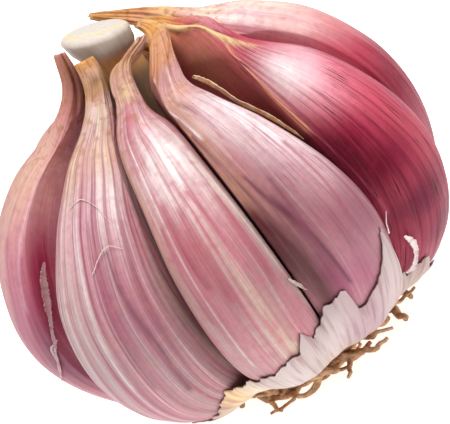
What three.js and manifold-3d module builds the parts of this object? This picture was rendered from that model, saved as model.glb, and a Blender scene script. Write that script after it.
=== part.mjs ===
// A garlic bulb with most of its papery wrapper pulled off: eleven cloves stand in a ring round a dried stem,
// on a corky root plate with its tuft of dry roots, and the torn rest of the wrapper still hugs their heels.
//
// Millimetres. +Z runs up the bulb's axis from the roots to the cut stem. The origin is the middle of the
// trimmed root crown, the small flat spot that the bulb stands on. Azimuth 0 faces -Y and grows towards +X.
import * as THREE from "three";
import { mergeVertices } from "three/addons/utils/BufferGeometryUtils.js";
import Module from "manifold-3d";

const wasm = await Module();
wasm.setup();

// ---------- driving dimensions ----------

const CLEARANCE = 0.15; // from each clove to the wall between it and its neighbour

// A clove's back, its inner edge and its half width at eleven stations from the foot to the dry tip. r is the
// distance from the bulb's axis and z the height. Between the stations the shape is a smooth curve.
const BACK = [
  [9.0, 5.2], // foot, on the root plate
  [14.5, 4.2], // heel
  [20.5, 6.0], // low belly
  [25.6, 11.5], // belly
  [27.9, 19.0], // widest
  [26.6, 27.0], // upper belly
  [22.0, 34.5], // shoulder
  [16.6, 39.3], // high shoulder
  [11.6, 42.4], // neck
  [8.2, 44.8], // strand
  [6.6, 47.6], // tip
];
const INNER_EDGE = [
  [6.4, 6.2],
  [5.8, 7.5],
  [5.3, 10.0],
  [5.1, 14.0],
  [5.0, 19.0],
  [5.0, 24.5],
  [5.0, 30.0],
  [5.1, 35.0],
  [5.3, 39.5],
  [5.5, 43.5],
  [5.6, 47.4],
];
const HALF_WIDTH = [1.6, 4.2, 6.0, 6.9, 7.1, 6.7, 5.4, 4.0, 2.1, 1.4, 1.15];
const CAP_DEPTH = 0.9; // depth of the rounded back, in half widths
const FLANK_BEND = 0.75; // 1 gives flat flanks, less makes them bulge
const FLANK_REACH = 0.9; // less than 1 draws the flank's points towards the inner edge
const NECK_FOLLOWS = 0.9; // how much of the back's shift the inner edge takes on at the strand and the tip
const RINGS_PER_CLOVE = 22;
const SIDES_PER_CLOVE = 16;

// The cloves in order round the bulb. wall is the azimuth of the wall between a clove and the one before it.
// reach scales the back's distance from the axis, and left and right scale the half width on either side of
// the back as seen from outside. The lists add to the stations: out and up move the back, wider_left and
// wider_right the half widths, in millimetres, and drift turns the station round the axis, in degrees.
// droop lowers the inner edge, which turns the strand's rings where it bends sideways.
// hollow_left makes the left flank concave, where the clove's skin has dried away from its flesh.
const BROKEN_NECK = [0, 0, 0, 0, 0, 0, 0, 0, -0.7, -2.4, -4.8]; // the necks at the back end lower
const CLOVES = [
  {
    name: "clove_01", azimuth: -83, wall: -98, reach: 1.03, left: 1.1, right: 1.1,
    out: [0, -0.1, -0.9, -0.8, -0.1, 0.9, 2.0, 2.0, 0.5, 0, -0.3],
    up: [0, 0, 0.5, 0.8, 0.3, 0, 0.3, 0.3, 0, 0.6, 2.6],
    wider_left: [0, 0, 0, 0, 0, 0.8, 1.6, 1.8, 1.1, 0, -0.9],
    wider_right: [0, 0, 0, 0, 0.4, 0.9, 1.3, 1.4, 0.8, 0, -0.5],
  },
  {
    name: "clove_02", azimuth: -46, wall: -69, reach: 1.02, left: 1.22, right: 1.0,
    wider_left: [0, 1, 1.6, 2.0, 2.0, 1.1, -0.3, -0.8, -0.4, -0.1, 0],
    wider_right: [0, 0, 0, 0, 0, 0.3, 0.6, 0.8, 0.8, 0.3, 0],
    drift: [-5, -5, -4, -2, 0, 0, 1, 2, 2, -3, -8],
    up: [0, 0, 0, 0, 0, 0, 0, 0, 0, 0, 0.8],
  },
  {
    name: "clove_03", azimuth: -9, wall: -26, reach: 1.0, left: 1.0, right: 1.0,
    wider_left: [0, -0.6, -0.8, -0.7, -0.9, -0.9, -0.6, -0.1, 0, 0, 0.5],
    wider_right: [0, 0, 0, -0.5, -0.9, -1.0, -0.9, -0.7, -0.6, -0.1, 0.1],
    up: [0, 0, 0, 0, 0, 0, 0, 0, 0, 1.1, -0.8],
    out: [0, 0, 0, 0, 0, 0, 0, 0, 0, -0.3, -0.3],
    drift: [0, 0, 0, 0, 0, 0, 0, -1, -4, -10, 22],
    droop: [0, 0, 0, 0, 0, 0, 0, 0, 0, 0.5, 1.8],
  },
  {
    name: "clove_04", azimuth: 20, wall: 4.6, reach: 1.0, left: 0.95, right: 1.0,
    wider_left: [0, 0, 0, 0.2, 0.7, 1.1, 1.4, 1.3, 1.4, 0.8, 0],
    wider_right: [0, 0, 0, 0, -0.2, -0.9, -1.7, -2.3, -1.0, -0.6, -0.3],
    drift: [0, 0, 0, 0, 0, 0, 0, 0, 0, 14, 56],
    up: [0, 0, 0, 0, 0, 0, 0, -0.2, -0.2, 0.5, -0.9],
    out: [0, 0, 0, 0, 0, 0, 0, 0, 0, -0.3, -1.9],
  },
  {
    name: "clove_05", azimuth: 53, wall: 35, reach: 1.025, left: 1.15, right: 1.18,
    out: [0, 0, 0.3, 0.4, 0.1, -0.5, -0.5, -0.2, 0.4, 0, -1.2],
    up: [0, 0, 0, 0, 0, 0, 0.2, 0.9, 1.4, 0.5, -1.5],
    drift: [0, 0, 0, 0, 0, 0, 0, -1, 2, 9, 48],
    wider_left: [0, 0, 0, -0.4, -1.3, -2.3, -2.6, -2.8, -1.4, -0.7, -0.4],
    wider_right: [0, 0, 0, 0, 0, 0.2, 0.3, -2.6, -1.7, -0.9, -0.4],
    hollow_left: [0, 0, 0, 0, 0.3, 0.9, 1.5, 1.6, 1.2, 0.5, 0],
  },
  {
    name: "clove_06", azimuth: 89, wall: 74, reach: 0.975, left: 1.1, right: 1.1,
    out: [0, 0, 0, 0, 0.2, 0.7, 1.1, 0.8, 0.3, 0.8, -0.3],
    up: [0, 0, 0, 0, 0.3, 1.0, 1.4, 1.5, 1.1, 1.3, 1.9],
    drift: [0, 0, 0, 0, 0, 0, 0, 2, 8, 26, 66],
    wider_left: [0, 0, 0, 0, 0, 0, 0, 0, 0, -0.1, -1.0],
    wider_right: [0, 0, 0, 0, 0, 0, 0, 0, 0, -0.1, -1.0],
  },
  {
    name: "clove_07", azimuth: 121, wall: 105, reach: 0.96, left: 1.05, right: 1.0,
    up: BROKEN_NECK,
  },
  {
    name: "clove_08", azimuth: 153, wall: 137, reach: 1.0, left: 1.0, right: 1.1,
    up: BROKEN_NECK,
  },
  {
    name: "clove_09", azimuth: 185, wall: 170, reach: 1.02, left: 1.1, right: 1.0,
    up: BROKEN_NECK,
  },
  {
    name: "clove_10", azimuth: 216, wall: 201, reach: 0.97, left: 1.0, right: 1.0,
    up: BROKEN_NECK,
  },
  {
    name: "clove_11", azimuth: 246, wall: 231, reach: 0.97, left: 1.05, right: 1.1,
    up: BROKEN_NECK,
  },
];

// The dry necks are wound a little round the stem.
const NECK_TWIST = 22; // degrees, at the tips
const TWIST_FROM = 40.0;
const TWIST_TO = 48.0;
const WALLS_FADE = 42.0; // from here up the necks are thin and come free of the walls
const WALLS_END = 44.0;

// The dried flower stem: its middle stands on the root plate and its top is cut off at a slant.
const STEM_RINGS = [
  // height, radius
  [2.0, 5.0],
  [5.0, 3.8],
  [9.0, 3.2],
  [36.0, 3.1],
  [42.0, 3.1],
  [44.8, 3.2],
  [46.0, 3.4],
  [46.9, 3.85],
  [47.8, 4.05],
  [48.7, 3.95],
  [49.3, 3.65],
];
const STEM_SIDES = 18;
const CUT_SLANT = 18; // degrees, down towards +X
const STEM_LEAN = [-0.6, 0.1]; // how far the top has moved off the axis, along X and Y
const LEAN_FROM = 36.0;

// The root plate is a low corky dome, trimmed flat underneath.
const PLATE_PROFILE = [
  // distance from the axis, height
  [0, 0],
  [5.6, 0],
  [7.6, 0.9],
  [9.6, 2.2],
  [10.2, 3.2],
  [9.6, 4.3],
  [8.2, 4.9],
  [0, 5.4],
];
const PLATE_SIDES = 24;

// Dry roots curl out of the plate's rim. Each is a short bent tube.
const ROOTS = 34;
const ROOT_SEED = 12;
const ROOT_RADIUS = 0.5;
const ROOT_SIDES = 4;
const ROOT_STEPS = 7;
const ROOT_LOWEST = 0.75; // of a root's centre line
const ROOT_HIGHEST = 2.45;

// What is left of the papery wrapper: a thin skin stretched over the heels of the cloves.
const SKIN_THICKNESS = 0.65;
const SKIN_GAP = 0.62;
const SKIN_FOOT = 60; // degrees below the level through SKIN_CENTRE, at its lower rim
const SKIN_CENTRE = 22; // height on the axis from which the skin's shape is worked out
const SKIN_COLUMNS = 120;
const SKIN_ROWS = 5;
const SKIN_BANDS = 18; // levels at which the cloves are felt for, from the lower rim upwards
const BAND_STEP = 4; // degrees between them
const FEELER_LENGTH = 60; // further than the bulb reaches from SKIN_CENTRE
const STRETCH_REACH = 9; // columns on either side that hold the skin off a groove
const STRETCH_BEND = 22; // half the curvature of the ball, in millimetres per radian squared
// Its torn upper edge: azimuth in degrees and height.
const TORN_EDGE = [
  [-98, 5.4], [-90, 6.0], [-84, 5.4], [-76, 6.2], [-71, 5.6], [-64, 5.2], [-58, 5.8], [-50, 5.4],
  [-44, 6.2], [-37, 7.4], [-33, 8.3], [-29, 7.2], [-23, 8.0], [-19, 8.7], [-11, 10.9], [-5, 11.6],
  [-2, 13.8], [0, 11.8], [4, 12.2], [7, 14.2], [10, 14.3], [13, 14.8], [14, 11.6], [17, 12.0],
  [21, 12.6], [25, 14.4], [30, 17.2], [33, 9.6], [37, 8.0], [40, 9.0], [43, 8.6], [47, 6.4],
  [55, 5.6], [64, 6.0], [70, 5.4], [75, 5.8], [84, 5.4], [95, 6.6], [104, 5.8], [112, 8.0],
  [121, 7.4], [133, 6.8], [144, 9.4], [152, 7.6], [163, 8.2], [171, 10.2], [178, 7.4], [190, 7.8],
  [201, 9.6], [209, 7.2], [222, 8.4], [233, 7.2], [243, 9.0], [252, 6.8],
];

// A slip of dry skin stands in the groove between clove_04 and clove_05. Its outer edge, as distance from
// the axis and height, and how deep it reaches into the groove there.
const SLIP_AZIMUTH = 36.2;
const SLIP_THICKNESS = 0.6;
const SLIP_STATIONS = 16;
const SLIP_INWARDS = [0.8, 0.6]; // its width runs this way in its plane: towards the axis and down
const SLIP_EDGE = [
  // distance, height, depth
  [10.2, 40.2, 0.6],
  [11.5, 39.5, 1.2],
  [13.2, 38.0, 1.6],
  [14.9, 35.7, 1.7],
  [17.3, 33.5, 1.6],
  [19.6, 30.8, 1.2],
  [20.7, 29.1, 0.7],
];

// ---------- small helpers ----------

const DEGREE = Math.PI / 180;
const outwards = (azimuth) => new THREE.Vector3(Math.sin(azimuth * DEGREE), -Math.cos(azimuth * DEGREE), 0);
const sideways = (azimuth) => new THREE.Vector3(Math.cos(azimuth * DEGREE), Math.sin(azimuth * DEGREE), 0);
const curveThrough = (points) => new THREE.CatmullRomCurve3(points, false, "catmullrom", 0.5);
const smooth = (t) => t * t * (3 - 2 * t);

// A closed body through rings of points, each ring with the same number of points and turning the same way.
function loft(rings, { closed = false } = {}) {
  const around = rings[0].length;
  const positions = rings.flat().flatMap((p) => [p.x, p.y, p.z]);
  const faces = [];
  const lastRing = closed ? rings.length : rings.length - 1;
  for (let i = 0; i < lastRing; i++) {
    const below = i * around;
    const above = ((i + 1) % rings.length) * around;
    for (let j = 0; j < around; j++) {
      const k = (j + 1) % around;
      faces.push(below + j, below + k, above + k, below + j, above + k, above + j);
    }
  }
  if (!closed) {
    const top = (rings.length - 1) * around;
    for (let j = 1; j < around - 1; j++) faces.push(0, j + 1, j, top, top + j, top + j + 1);
  }
  const geometry = new THREE.BufferGeometry();
  geometry.setAttribute("position", new THREE.Float32BufferAttribute(positions, 3));
  geometry.setIndex(faces);
  geometry.computeVertexNormals();
  return geometry;
}

function materialOf(colour, roughness) {
  return new THREE.MeshStandardMaterial({ color: colour, roughness, metalness: 0 });
}

// ---------- a clove ----------

// Turns points about the bulb's axis, more the nearer they are to the tips of the necks.
function windRoundStem(p) {
  const t = THREE.MathUtils.clamp((p.z - TWIST_FROM) / (TWIST_TO - TWIST_FROM), 0, 1);
  return p.applyAxisAngle(new THREE.Vector3(0, 0, 1), smooth(t) * NECK_TWIST * DEGREE);
}

// Keeps a point on the clove's own side of the vertical wall at this azimuth: side is 1 for the wall before
// the clove and -1 for the wall after it.
function keepBehindWall(p, azimuth, side) {
  const across = sideways(azimuth);
  const distance = side * p.dot(across) - CLEARANCE;
  const free = THREE.MathUtils.clamp((p.z - WALLS_FADE) / (WALLS_END - WALLS_FADE), 0, 1);
  if (distance < 0) p.addScaledVector(across, -side * distance * (1 - smooth(free)));
  return p;
}

// One ring of a clove: the half towards the outside is a flattened half round, the other half narrows to the
// inner edge, so a clove has the shape of an orange segment.
function cloveRing(back, edge, left, right, azimuth, hollow) {
  const depth = back.distanceTo(edge);
  const inwards = edge.clone().sub(back).divideScalar(depth);
  const cap = Math.min(CAP_DEPTH * (left + right) * 0.5, 0.5 * depth);
  const ring = [];
  for (let j = 0; j < SIDES_PER_CLOVE; j++) {
    const angle = (2 * Math.PI * j) / SIDES_PER_CLOVE;
    const c = Math.cos(angle);
    const s = Math.sin(angle);
    const width = c < 0 ? left : right;
    const bend = c < 0 ? FLANK_BEND + hollow : FLANK_BEND;
    const x = s >= 0 ? width * c : width * Math.sign(c) * (1 - Math.abs(s)) ** bend;
    const y = s >= 0 ? cap * (1 - s) : cap + (depth - cap) * Math.abs(s) ** FLANK_REACH;
    const section = back.clone().addScaledVector(inwards, y);
    const p = outwards(azimuth).multiplyScalar(section.x).addScaledVector(sideways(azimuth), x);
    ring.push(p.setZ(section.y));
  }
  return ring.reverse();
}

function cloveGeometry(clove, nextWall) {
  const list = (name, i) => (clove[name] ? clove[name][i] : 0);
  const backs = BACK.map(([r, z], i) => {
    return new THREE.Vector3(r * clove.reach + list("out", i), z + list("up", i), 0);
  });
  const edges = INNER_EDGE.map(([r, z], i) => {
    const follow = i < BACK.length - 2 ? 0 : NECK_FOLLOWS;
    return new THREE.Vector3(r + follow * list("out", i), z + follow * list("up", i) - list("droop", i), 0);
  });
  const widths = HALF_WIDTH.map((w, i) => {
    const left = w * clove.left + list("wider_left", i);
    const right = w * clove.right + list("wider_right", i);
    return new THREE.Vector3(left, right, clove.azimuth + list("drift", i));
  });
  const hollows = HALF_WIDTH.map((_, i) => new THREE.Vector3(list("hollow_left", i), 0, 0));
  const [back, edge, width, hollow] = [backs, edges, widths, hollows].map(curveThrough);
  const rings = [];
  for (let i = 0; i < RINGS_PER_CLOVE; i++) {
    const t = i / (RINGS_PER_CLOVE - 1);
    const w = width.getPoint(t);
    const ring = cloveRing(back.getPoint(t), edge.getPoint(t), w.x, w.y, w.z, hollow.getPoint(t).x);
    for (const p of ring) {
      keepBehindWall(p, clove.wall, 1);
      keepBehindWall(p, nextWall, -1);
      windRoundStem(p);
    }
    rings.push(ring);
  }
  return loft(rings);
}

// ---------- stem, root plate and roots, grown as one ----------

function asSolid(geometry) {
  const bare = geometry.clone();
  bare.deleteAttribute("normal");
  bare.deleteAttribute("uv");
  const merged = mergeVertices(bare, 1e-4);
  const vertProperties = new Float32Array(merged.attributes.position.array);
  const triVerts = new Uint32Array(merged.index.array);
  return new wasm.Manifold(new wasm.Mesh({ numProp: 3, vertProperties, triVerts }));
}

function asGeometry(solid) {
  const mesh = solid.getMesh();
  const geometry = new THREE.BufferGeometry();
  geometry.setAttribute("position", new THREE.Float32BufferAttribute(mesh.vertProperties, 3));
  geometry.setIndex(Array.from(mesh.triVerts));
  geometry.computeVertexNormals();
  return geometry;
}

function stemGeometry() {
  const top = STEM_RINGS.at(-1)[0];
  const rings = STEM_RINGS.map(([height, radius]) => {
    const t = smooth(THREE.MathUtils.clamp((height - LEAN_FROM) / (top - LEAN_FROM), 0, 1));
    const slant = new THREE.Matrix4().makeRotationY(t * CUT_SLANT * DEGREE);
    const ring = [];
    for (let j = 0; j < STEM_SIDES; j++) {
      const angle = (2 * Math.PI * j) / STEM_SIDES;
      const p = new THREE.Vector3(radius * Math.cos(angle), radius * Math.sin(angle), 0).applyMatrix4(slant);
      ring.push(p.add(new THREE.Vector3(t * STEM_LEAN[0], t * STEM_LEAN[1], height)));
    }
    return ring;
  });
  return loft(rings);
}

function plateGeometry() {
  const profile = PLATE_PROFILE.map(([r, z]) => new THREE.Vector2(r, z));
  return new THREE.LatheGeometry(profile, PLATE_SIDES).rotateX(Math.PI / 2);
}

// Small repeatable random numbers from 0 to 1.
function randomFrom(seed) {
  let state = seed;
  return () => {
    state = (state * 1664525 + 1013904223) % 4294967296;
    return state / 4294967296;
  };
}

function rootGeometry(index, random) {
  const between = (low, high) => low + (high - low) * random();
  const azimuth = (360 * (index + between(-0.7, 0.7))) / ROOTS;
  const height = between(ROOT_LOWEST, ROOT_HIGHEST);
  const reach = between(10.6, 15.4);
  const hook = between(0.6, 2.1) * (random() < 0.5 ? -1 : 1);
  const at = (r, along, z) => {
    const p = outwards(azimuth).multiplyScalar(r).addScaledVector(sideways(azimuth), along);
    return p.setZ(THREE.MathUtils.clamp(z, ROOT_LOWEST, ROOT_HIGHEST));
  };
  const path = curveThrough([
    at(6.4, 0, 2.2),
    at(8.6, 0, height),
    at(reach - 1.4, between(-0.6, 0.4) * hook, height + between(-0.9, 0.9)),
    at(reach + between(-0.2, 0.6), between(0.1, 0.6) * hook, height + between(-1.3, 1.3)),
    at(reach - between(0.1, 1.2), between(0.9, 1.4) * hook, height + between(-1.3, 1.5)),
    at(reach - between(0.6, 2.6), between(0.8, 1.7) * hook, height + between(-1.3, 1.5)),
  ]);
  const section = new THREE.Shape();
  for (let k = 0; k < ROOT_SIDES; k++) {
    const angle = (2 * Math.PI * k) / ROOT_SIDES;
    const radius = ROOT_RADIUS * between(0.85, 1.2);
    const point = [radius * Math.cos(angle), radius * Math.sin(angle)];
    if (k === 0) section.moveTo(...point);
    else section.lineTo(...point);
  }
  return new THREE.ExtrudeGeometry(section, { steps: ROOT_STEPS, bevelEnabled: false, extrudePath: path });
}

function stemAndRootsGeometry() {
  const random = randomFrom(ROOT_SEED);
  let solid = asSolid(plateGeometry()).add(asSolid(stemGeometry()));
  for (let i = 0; i < ROOTS; i++) solid = solid.add(asSolid(rootGeometry(i, random)));
  return asGeometry(solid);
}

// ---------- the torn wrapper ----------

// How far the outside of the cloves lies from SKIN_CENTRE on every band, and all the way round.
function feelCloves(cloves) {
  const caster = new THREE.Raycaster();
  const centre = new THREE.Vector3(0, 0, SKIN_CENTRE);
  const bands = [];
  for (let i = 0; i < SKIN_BANDS; i++) {
    const below = (SKIN_FOOT - i * BAND_STEP) * DEGREE;
    const band = [];
    for (let j = 0; j < SKIN_COLUMNS; j++) {
      const away = outwards((360 * j) / SKIN_COLUMNS).multiplyScalar(Math.cos(below)).setZ(-Math.sin(below));
      const start = centre.clone().addScaledVector(away, FEELER_LENGTH);
      caster.set(start, away.clone().negate());
      const hit = caster.intersectObjects(cloves, false)[0];
      band.push(hit ? FEELER_LENGTH - hit.distance : 0);
    }
    bands.push(stretch(band));
  }
  return bands;
}

// A skin is too stiff to follow the grooves down: it rolls over them like a large ball.
function stretch(band) {
  const step = (360 / SKIN_COLUMNS) * DEGREE;
  const drop = (k) => STRETCH_BEND * (k * step) ** 2;
  const around = (list, j) => list[(j + list.length) % list.length];
  const offsets = Array.from({ length: 2 * STRETCH_REACH + 1 }, (_, k) => k - STRETCH_REACH);
  const raised = band.map((_, j) => Math.max(...offsets.map((k) => around(band, j + k) - drop(k))));
  return raised.map((_, j) => Math.min(...offsets.map((k) => around(raised, j + k) + drop(k))));
}

function heightOfTear(azimuth) {
  const first = TORN_EDGE[0];
  const points = [...TORN_EDGE, [first[0] + 360, first[1]]];
  const a = THREE.MathUtils.euclideanModulo(azimuth - first[0], 360) + first[0];
  const i = points.findIndex((p) => p[0] > a);
  const [from, to] = [points[i - 1], points[i]];
  return THREE.MathUtils.mapLinear(a, from[0], to[0], from[1], to[1]);
}

function wrapperGeometry(cloves) {
  const bands = feelCloves(cloves);
  const pointAt = (column, below, lift) => {
    const azimuth = (360 * column) / SKIN_COLUMNS;
    const band = THREE.MathUtils.clamp((SKIN_FOOT - below) / BAND_STEP, 0, SKIN_BANDS - 1.001);
    const i = Math.floor(band);
    const distance = THREE.MathUtils.lerp(bands[i][column], bands[i + 1][column], band - i) + lift;
    const angle = below * DEGREE;
    const p = outwards(azimuth).multiplyScalar(distance * Math.cos(angle));
    return p.setZ(SKIN_CENTRE - distance * Math.sin(angle));
  };
  const rings = [];
  for (let column = 0; column < SKIN_COLUMNS; column++) {
    const tear = heightOfTear((360 * column) / SKIN_COLUMNS);
    let top = SKIN_FOOT;
    while (pointAt(column, top, SKIN_GAP).z < tear) top -= 0.25;
    const ring = [];
    for (const lift of [SKIN_GAP, SKIN_GAP + SKIN_THICKNESS]) {
      const strip = [];
      for (let row = 0; row <= SKIN_ROWS; row++) {
        const below = THREE.MathUtils.lerp(SKIN_FOOT, top, (row / SKIN_ROWS) ** 1.25);
        strip.push(pointAt(column, below, lift));
      }
      ring.push(...(lift === SKIN_GAP ? strip : strip.reverse()));
    }
    rings.push(ring);
  }
  return loft(rings, { closed: true });
}

// ---------- the slip of skin in the groove ----------

function slipGeometry() {
  const along = curveThrough(SLIP_EDGE.map(([r, z, depth]) => new THREE.Vector3(r, z, depth)));
  const rings = [];
  for (let i = 0; i <= SLIP_STATIONS; i++) {
    const { x: r, y: z, z: depth } = along.getPoint(i / SLIP_STATIONS);
    const corners = [
      [0, 0.5],
      [0, -0.5],
      [depth, -0.5],
      [depth, 0.5],
    ];
    rings.push(
      corners.map(([inwards, side]) => {
        const p = outwards(SLIP_AZIMUTH).multiplyScalar(r - SLIP_INWARDS[0] * inwards);
        p.addScaledVector(sideways(SLIP_AZIMUTH), side * SLIP_THICKNESS);
        return p.setZ(z - SLIP_INWARDS[1] * inwards);
      }),
    );
  }
  return loft(rings);
}

// ---------- the assembly ----------

const bulb = new THREE.Group();

function add(name, geometry, material) {
  const mesh = new THREE.Mesh(geometry, material);
  mesh.name = name;
  bulb.add(mesh);
  return mesh;
}

CLOVES.forEach((clove, i) => {
  const next = CLOVES[(i + 1) % CLOVES.length];
  const nextWall = next.wall < clove.wall ? next.wall + 360 : next.wall;
  add(clove.name, cloveGeometry(clove, nextWall), materialOf("#d9a9b4", 0.55));
});

bulb.updateMatrixWorld(true);
const cloves = [...bulb.children];
add("stem_with_root_plate", stemAndRootsGeometry(), materialOf("#cdb896", 0.8));
add("torn_wrapper", wrapperGeometry(cloves), materialOf("#eadfdc", 0.5));
add("groove_skin", slipGeometry(), materialOf("#c99a62", 0.6));

export default bulb;
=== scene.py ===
# %% [markdown]
# # A garlic bulb, partly peeled
# A garlic bulb is a ring of cloves round the dried flower stem, all grown on one corky plate with a tuft of
# roots. Here most of the papery wrapper has been pulled off, so the cloves' own pink skins show.
#
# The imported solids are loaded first. They fix where everything is, and each piece made below takes the place
# of one of them, with finer shape and a real finish.

import math

import bmesh
import bpy
import numpy as np
from mathutils import Matrix, Vector
from mathutils.bvhtree import BVHTree


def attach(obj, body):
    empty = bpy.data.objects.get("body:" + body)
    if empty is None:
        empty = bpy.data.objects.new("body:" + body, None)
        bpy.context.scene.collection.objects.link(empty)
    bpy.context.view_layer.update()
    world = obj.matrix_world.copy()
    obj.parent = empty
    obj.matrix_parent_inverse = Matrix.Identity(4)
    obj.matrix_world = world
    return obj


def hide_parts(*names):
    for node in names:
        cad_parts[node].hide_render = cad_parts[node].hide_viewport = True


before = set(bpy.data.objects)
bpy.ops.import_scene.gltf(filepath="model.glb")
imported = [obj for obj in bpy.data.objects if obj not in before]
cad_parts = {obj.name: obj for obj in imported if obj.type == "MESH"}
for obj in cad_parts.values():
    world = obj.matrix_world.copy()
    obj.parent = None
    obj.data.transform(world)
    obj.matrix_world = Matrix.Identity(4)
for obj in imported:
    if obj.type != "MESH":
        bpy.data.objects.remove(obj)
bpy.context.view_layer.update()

# %% [markdown]
# ## Units and small helpers
# Blender works in metres and a garlic bulb in millimetres, so sizes below are in millimetres and are turned
# to metres once, where a mesh is made.
#
# Colours are written as the hex values that a colour picker shows. Blender mixes light linearly, so one
# function turns them to linear. A second one adds a node with its settings and links, for the materials and
# for Geometry Nodes alike.

# %% Units, colours and nodes
MM = 0.001
DEGREE = math.pi / 180
BODY = "root"
# Short names for the nodes that are used most.
MATH, RAMP, NOISE, MIX = "ShaderNodeMath", "ShaderNodeMapRange", "ShaderNodeTexNoise", "ShaderNodeMix"
# A Mix node has a set of sockets for each kind of data; these are the colour ones.
MIX_FACTOR, MIX_A, MIX_B = 0, 6, 7


def linear(hex_colour):
    """An sRGB hex colour as linear red, green, blue and alpha."""
    channels = [int(hex_colour[i : i + 2], 16) / 255 for i in (1, 3, 5)]
    return [c / 12.92 if c <= 0.04045 else ((c + 0.055) / 1.055) ** 2.4 for c in channels] + [1.0]


def add_node(tree, kind, inputs=(), **settings):
    """Adds a node with its settings.

    The inputs are a dict by name or number, or a list in the node's own order. Each is a value, a socket to
    link to, or a node, which stands for its first output in use.
    """
    node = tree.nodes.new(kind)
    for name, value in settings.items():
        setattr(node, name, value)
    for name, value in inputs.items() if isinstance(inputs, dict) else enumerate(inputs):
        if isinstance(value, bpy.types.Node):
            value = next(output for output in value.outputs if output.enabled)
        if isinstance(value, bpy.types.NodeSocket):
            tree.links.new(value, node.inputs[name])
        else:
            node.inputs[name].default_value = value
    return node


def new_material(name):
    """A material with an empty node tree."""
    material = bpy.data.materials.new(name)
    material.use_nodes = True
    material.node_tree.nodes.clear()
    return material, material.node_tree


print("one sRGB grey as linear light:", round(linear("#808080")[0], 3))

# %% [markdown]
# ## Camera
# The bulb stands upright on its root plate. The camera looks down on it from 20 degrees and is itself rolled
# by 35 degrees, so the stem leans to the upper left of the picture. A long lens from 300 mm away keeps the
# perspective of a close product picture.

# %% Camera
CAMERA_ELEVATION = 20
CAMERA_ROLL = 35
CAMERA_DISTANCE = 300
LOOK_AT = Vector((0.0, -0.9, 21.5))
SENSOR_WIDTH = 36
FOCAL_LENGTH = 198.5
NEAREST, FARTHEST = 0.01, 20  # metres that the camera can see between


def make_camera():
    """Makes the camera and gives the picture's right, its up and the way back to the camera."""
    elevation, roll = CAMERA_ELEVATION * DEGREE, CAMERA_ROLL * DEGREE
    forward = Vector((0, math.cos(elevation), -math.sin(elevation)))
    level_up = Vector((0, math.sin(elevation), math.cos(elevation)))
    level_right = Vector((1, 0, 0))
    right = math.cos(roll) * level_right - math.sin(roll) * level_up
    up = math.sin(roll) * level_right + math.cos(roll) * level_up
    position = (LOOK_AT - forward * CAMERA_DISTANCE) * MM
    data = bpy.data.cameras.new("camera")
    data.sensor_fit = "HORIZONTAL"
    data.sensor_width = SENSOR_WIDTH
    data.lens = FOCAL_LENGTH
    data.clip_start = NEAREST
    data.clip_end = FARTHEST
    camera = bpy.data.objects.new("camera", data)
    turned = Matrix((right, up, -forward)).transposed().to_quaternion()
    camera.matrix_world = Matrix.LocRotScale(position, turned, None)
    bpy.context.scene.collection.objects.link(camera)
    bpy.context.scene.camera = camera
    return right, up, -forward


camera_right, camera_up, camera_back = make_camera()
print("camera at", list(bpy.context.scene.camera.location))

# %% [markdown]
# ## Floor and light
# High-key studio light: a white surface that glows a little, as a sheet of acrylic lit from under does, a
# bright white room, one large soft lamp above the bulb and a weaker one at its side. The view transform is
# Standard, so that white stays white.

# %% Floor and light
FLOOR_SIZE = 2.4
FLOOR_GLOW = 0.8
ROOM_BRIGHTNESS = 0.30
# The lamps: direction as shares of the picture's right, up and towards the camera, distance and size in
# metres, and power in watts.
LAMPS = {
    "soft_lamp_above": ((-0.45, 0.85, 0.45), 0.7, 0.36, 5.6),
    "soft_lamp_right": ((1.0, 0.25, 0.15), 0.8, 0.5, 0.4),
}


def make_floor():
    """Opal acrylic: white and matt, and it glows a little because it is lit from under."""
    mesh = bpy.data.meshes.new("floor")
    half = FLOOR_SIZE / 2
    corners = [(-half, -half, 0), (half, -half, 0), (half, half, 0), (-half, half, 0)]
    mesh.from_pydata(corners, [], [(0, 1, 2, 3)])
    floor = bpy.data.objects.new("floor", mesh)
    bpy.context.scene.collection.objects.link(floor)
    material, tree = new_material("lit_white_acrylic")
    shader = add_node(
        tree,
        "ShaderNodeBsdfPrincipled",
        {
            "Base Color": linear("#F4F4F4"),
            "Roughness": 0.8,
            "Specular IOR Level": 0.1,
            "Emission Color": linear("#FFFFFF"),
            "Emission Strength": FLOOR_GLOW,
        },
    )
    add_node(tree, "ShaderNodeOutputMaterial", {"Surface": shader})
    mesh.materials.append(material)


def make_light():
    world = bpy.data.worlds.new("white_room")
    world.use_nodes = True
    world.node_tree.nodes["Background"].inputs["Color"].default_value = linear("#FFFDFC")
    world.node_tree.nodes["Background"].inputs["Strength"].default_value = ROOM_BRIGHTNESS
    bpy.context.scene.world = world
    for name, (direction, distance, size, power) in LAMPS.items():
        right, up, back = direction
        towards = (camera_right * right + camera_up * up + camera_back * back).normalized()
        data = bpy.data.lights.new(name, "AREA")
        data.energy = power
        data.size = size
        lamp = bpy.data.objects.new(name, data)
        lamp.location = towards * distance + LOOK_AT * MM
        lamp.rotation_euler = towards.to_track_quat("Z", "Y").to_euler()
        bpy.context.scene.collection.objects.link(lamp)


make_floor()
make_light()
bpy.context.scene.view_settings.view_transform = "Standard"
print("lamps:", ", ".join(LAMPS))

# %% [markdown]
# ## The shape of a clove
# A clove is a segment of the bulb, as an orange has: a round back towards the outside, two flanks that lie
# against its neighbours, and a narrow inner edge at the stem. It could be sculpted, but all eleven follow
# one rule, so it is lofted: the back, the inner edge and the half width are given at eleven stations from the
# foot to the dry tip, a smooth curve runs through each list, and a ring of points is laid at every step.
#
# These are the same lists as the solids have, so the fine cloves lie where the solids lie.

# %% The driving sizes of a clove
CLEARANCE = 0.15  # from each clove to the wall between it and its neighbour
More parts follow.
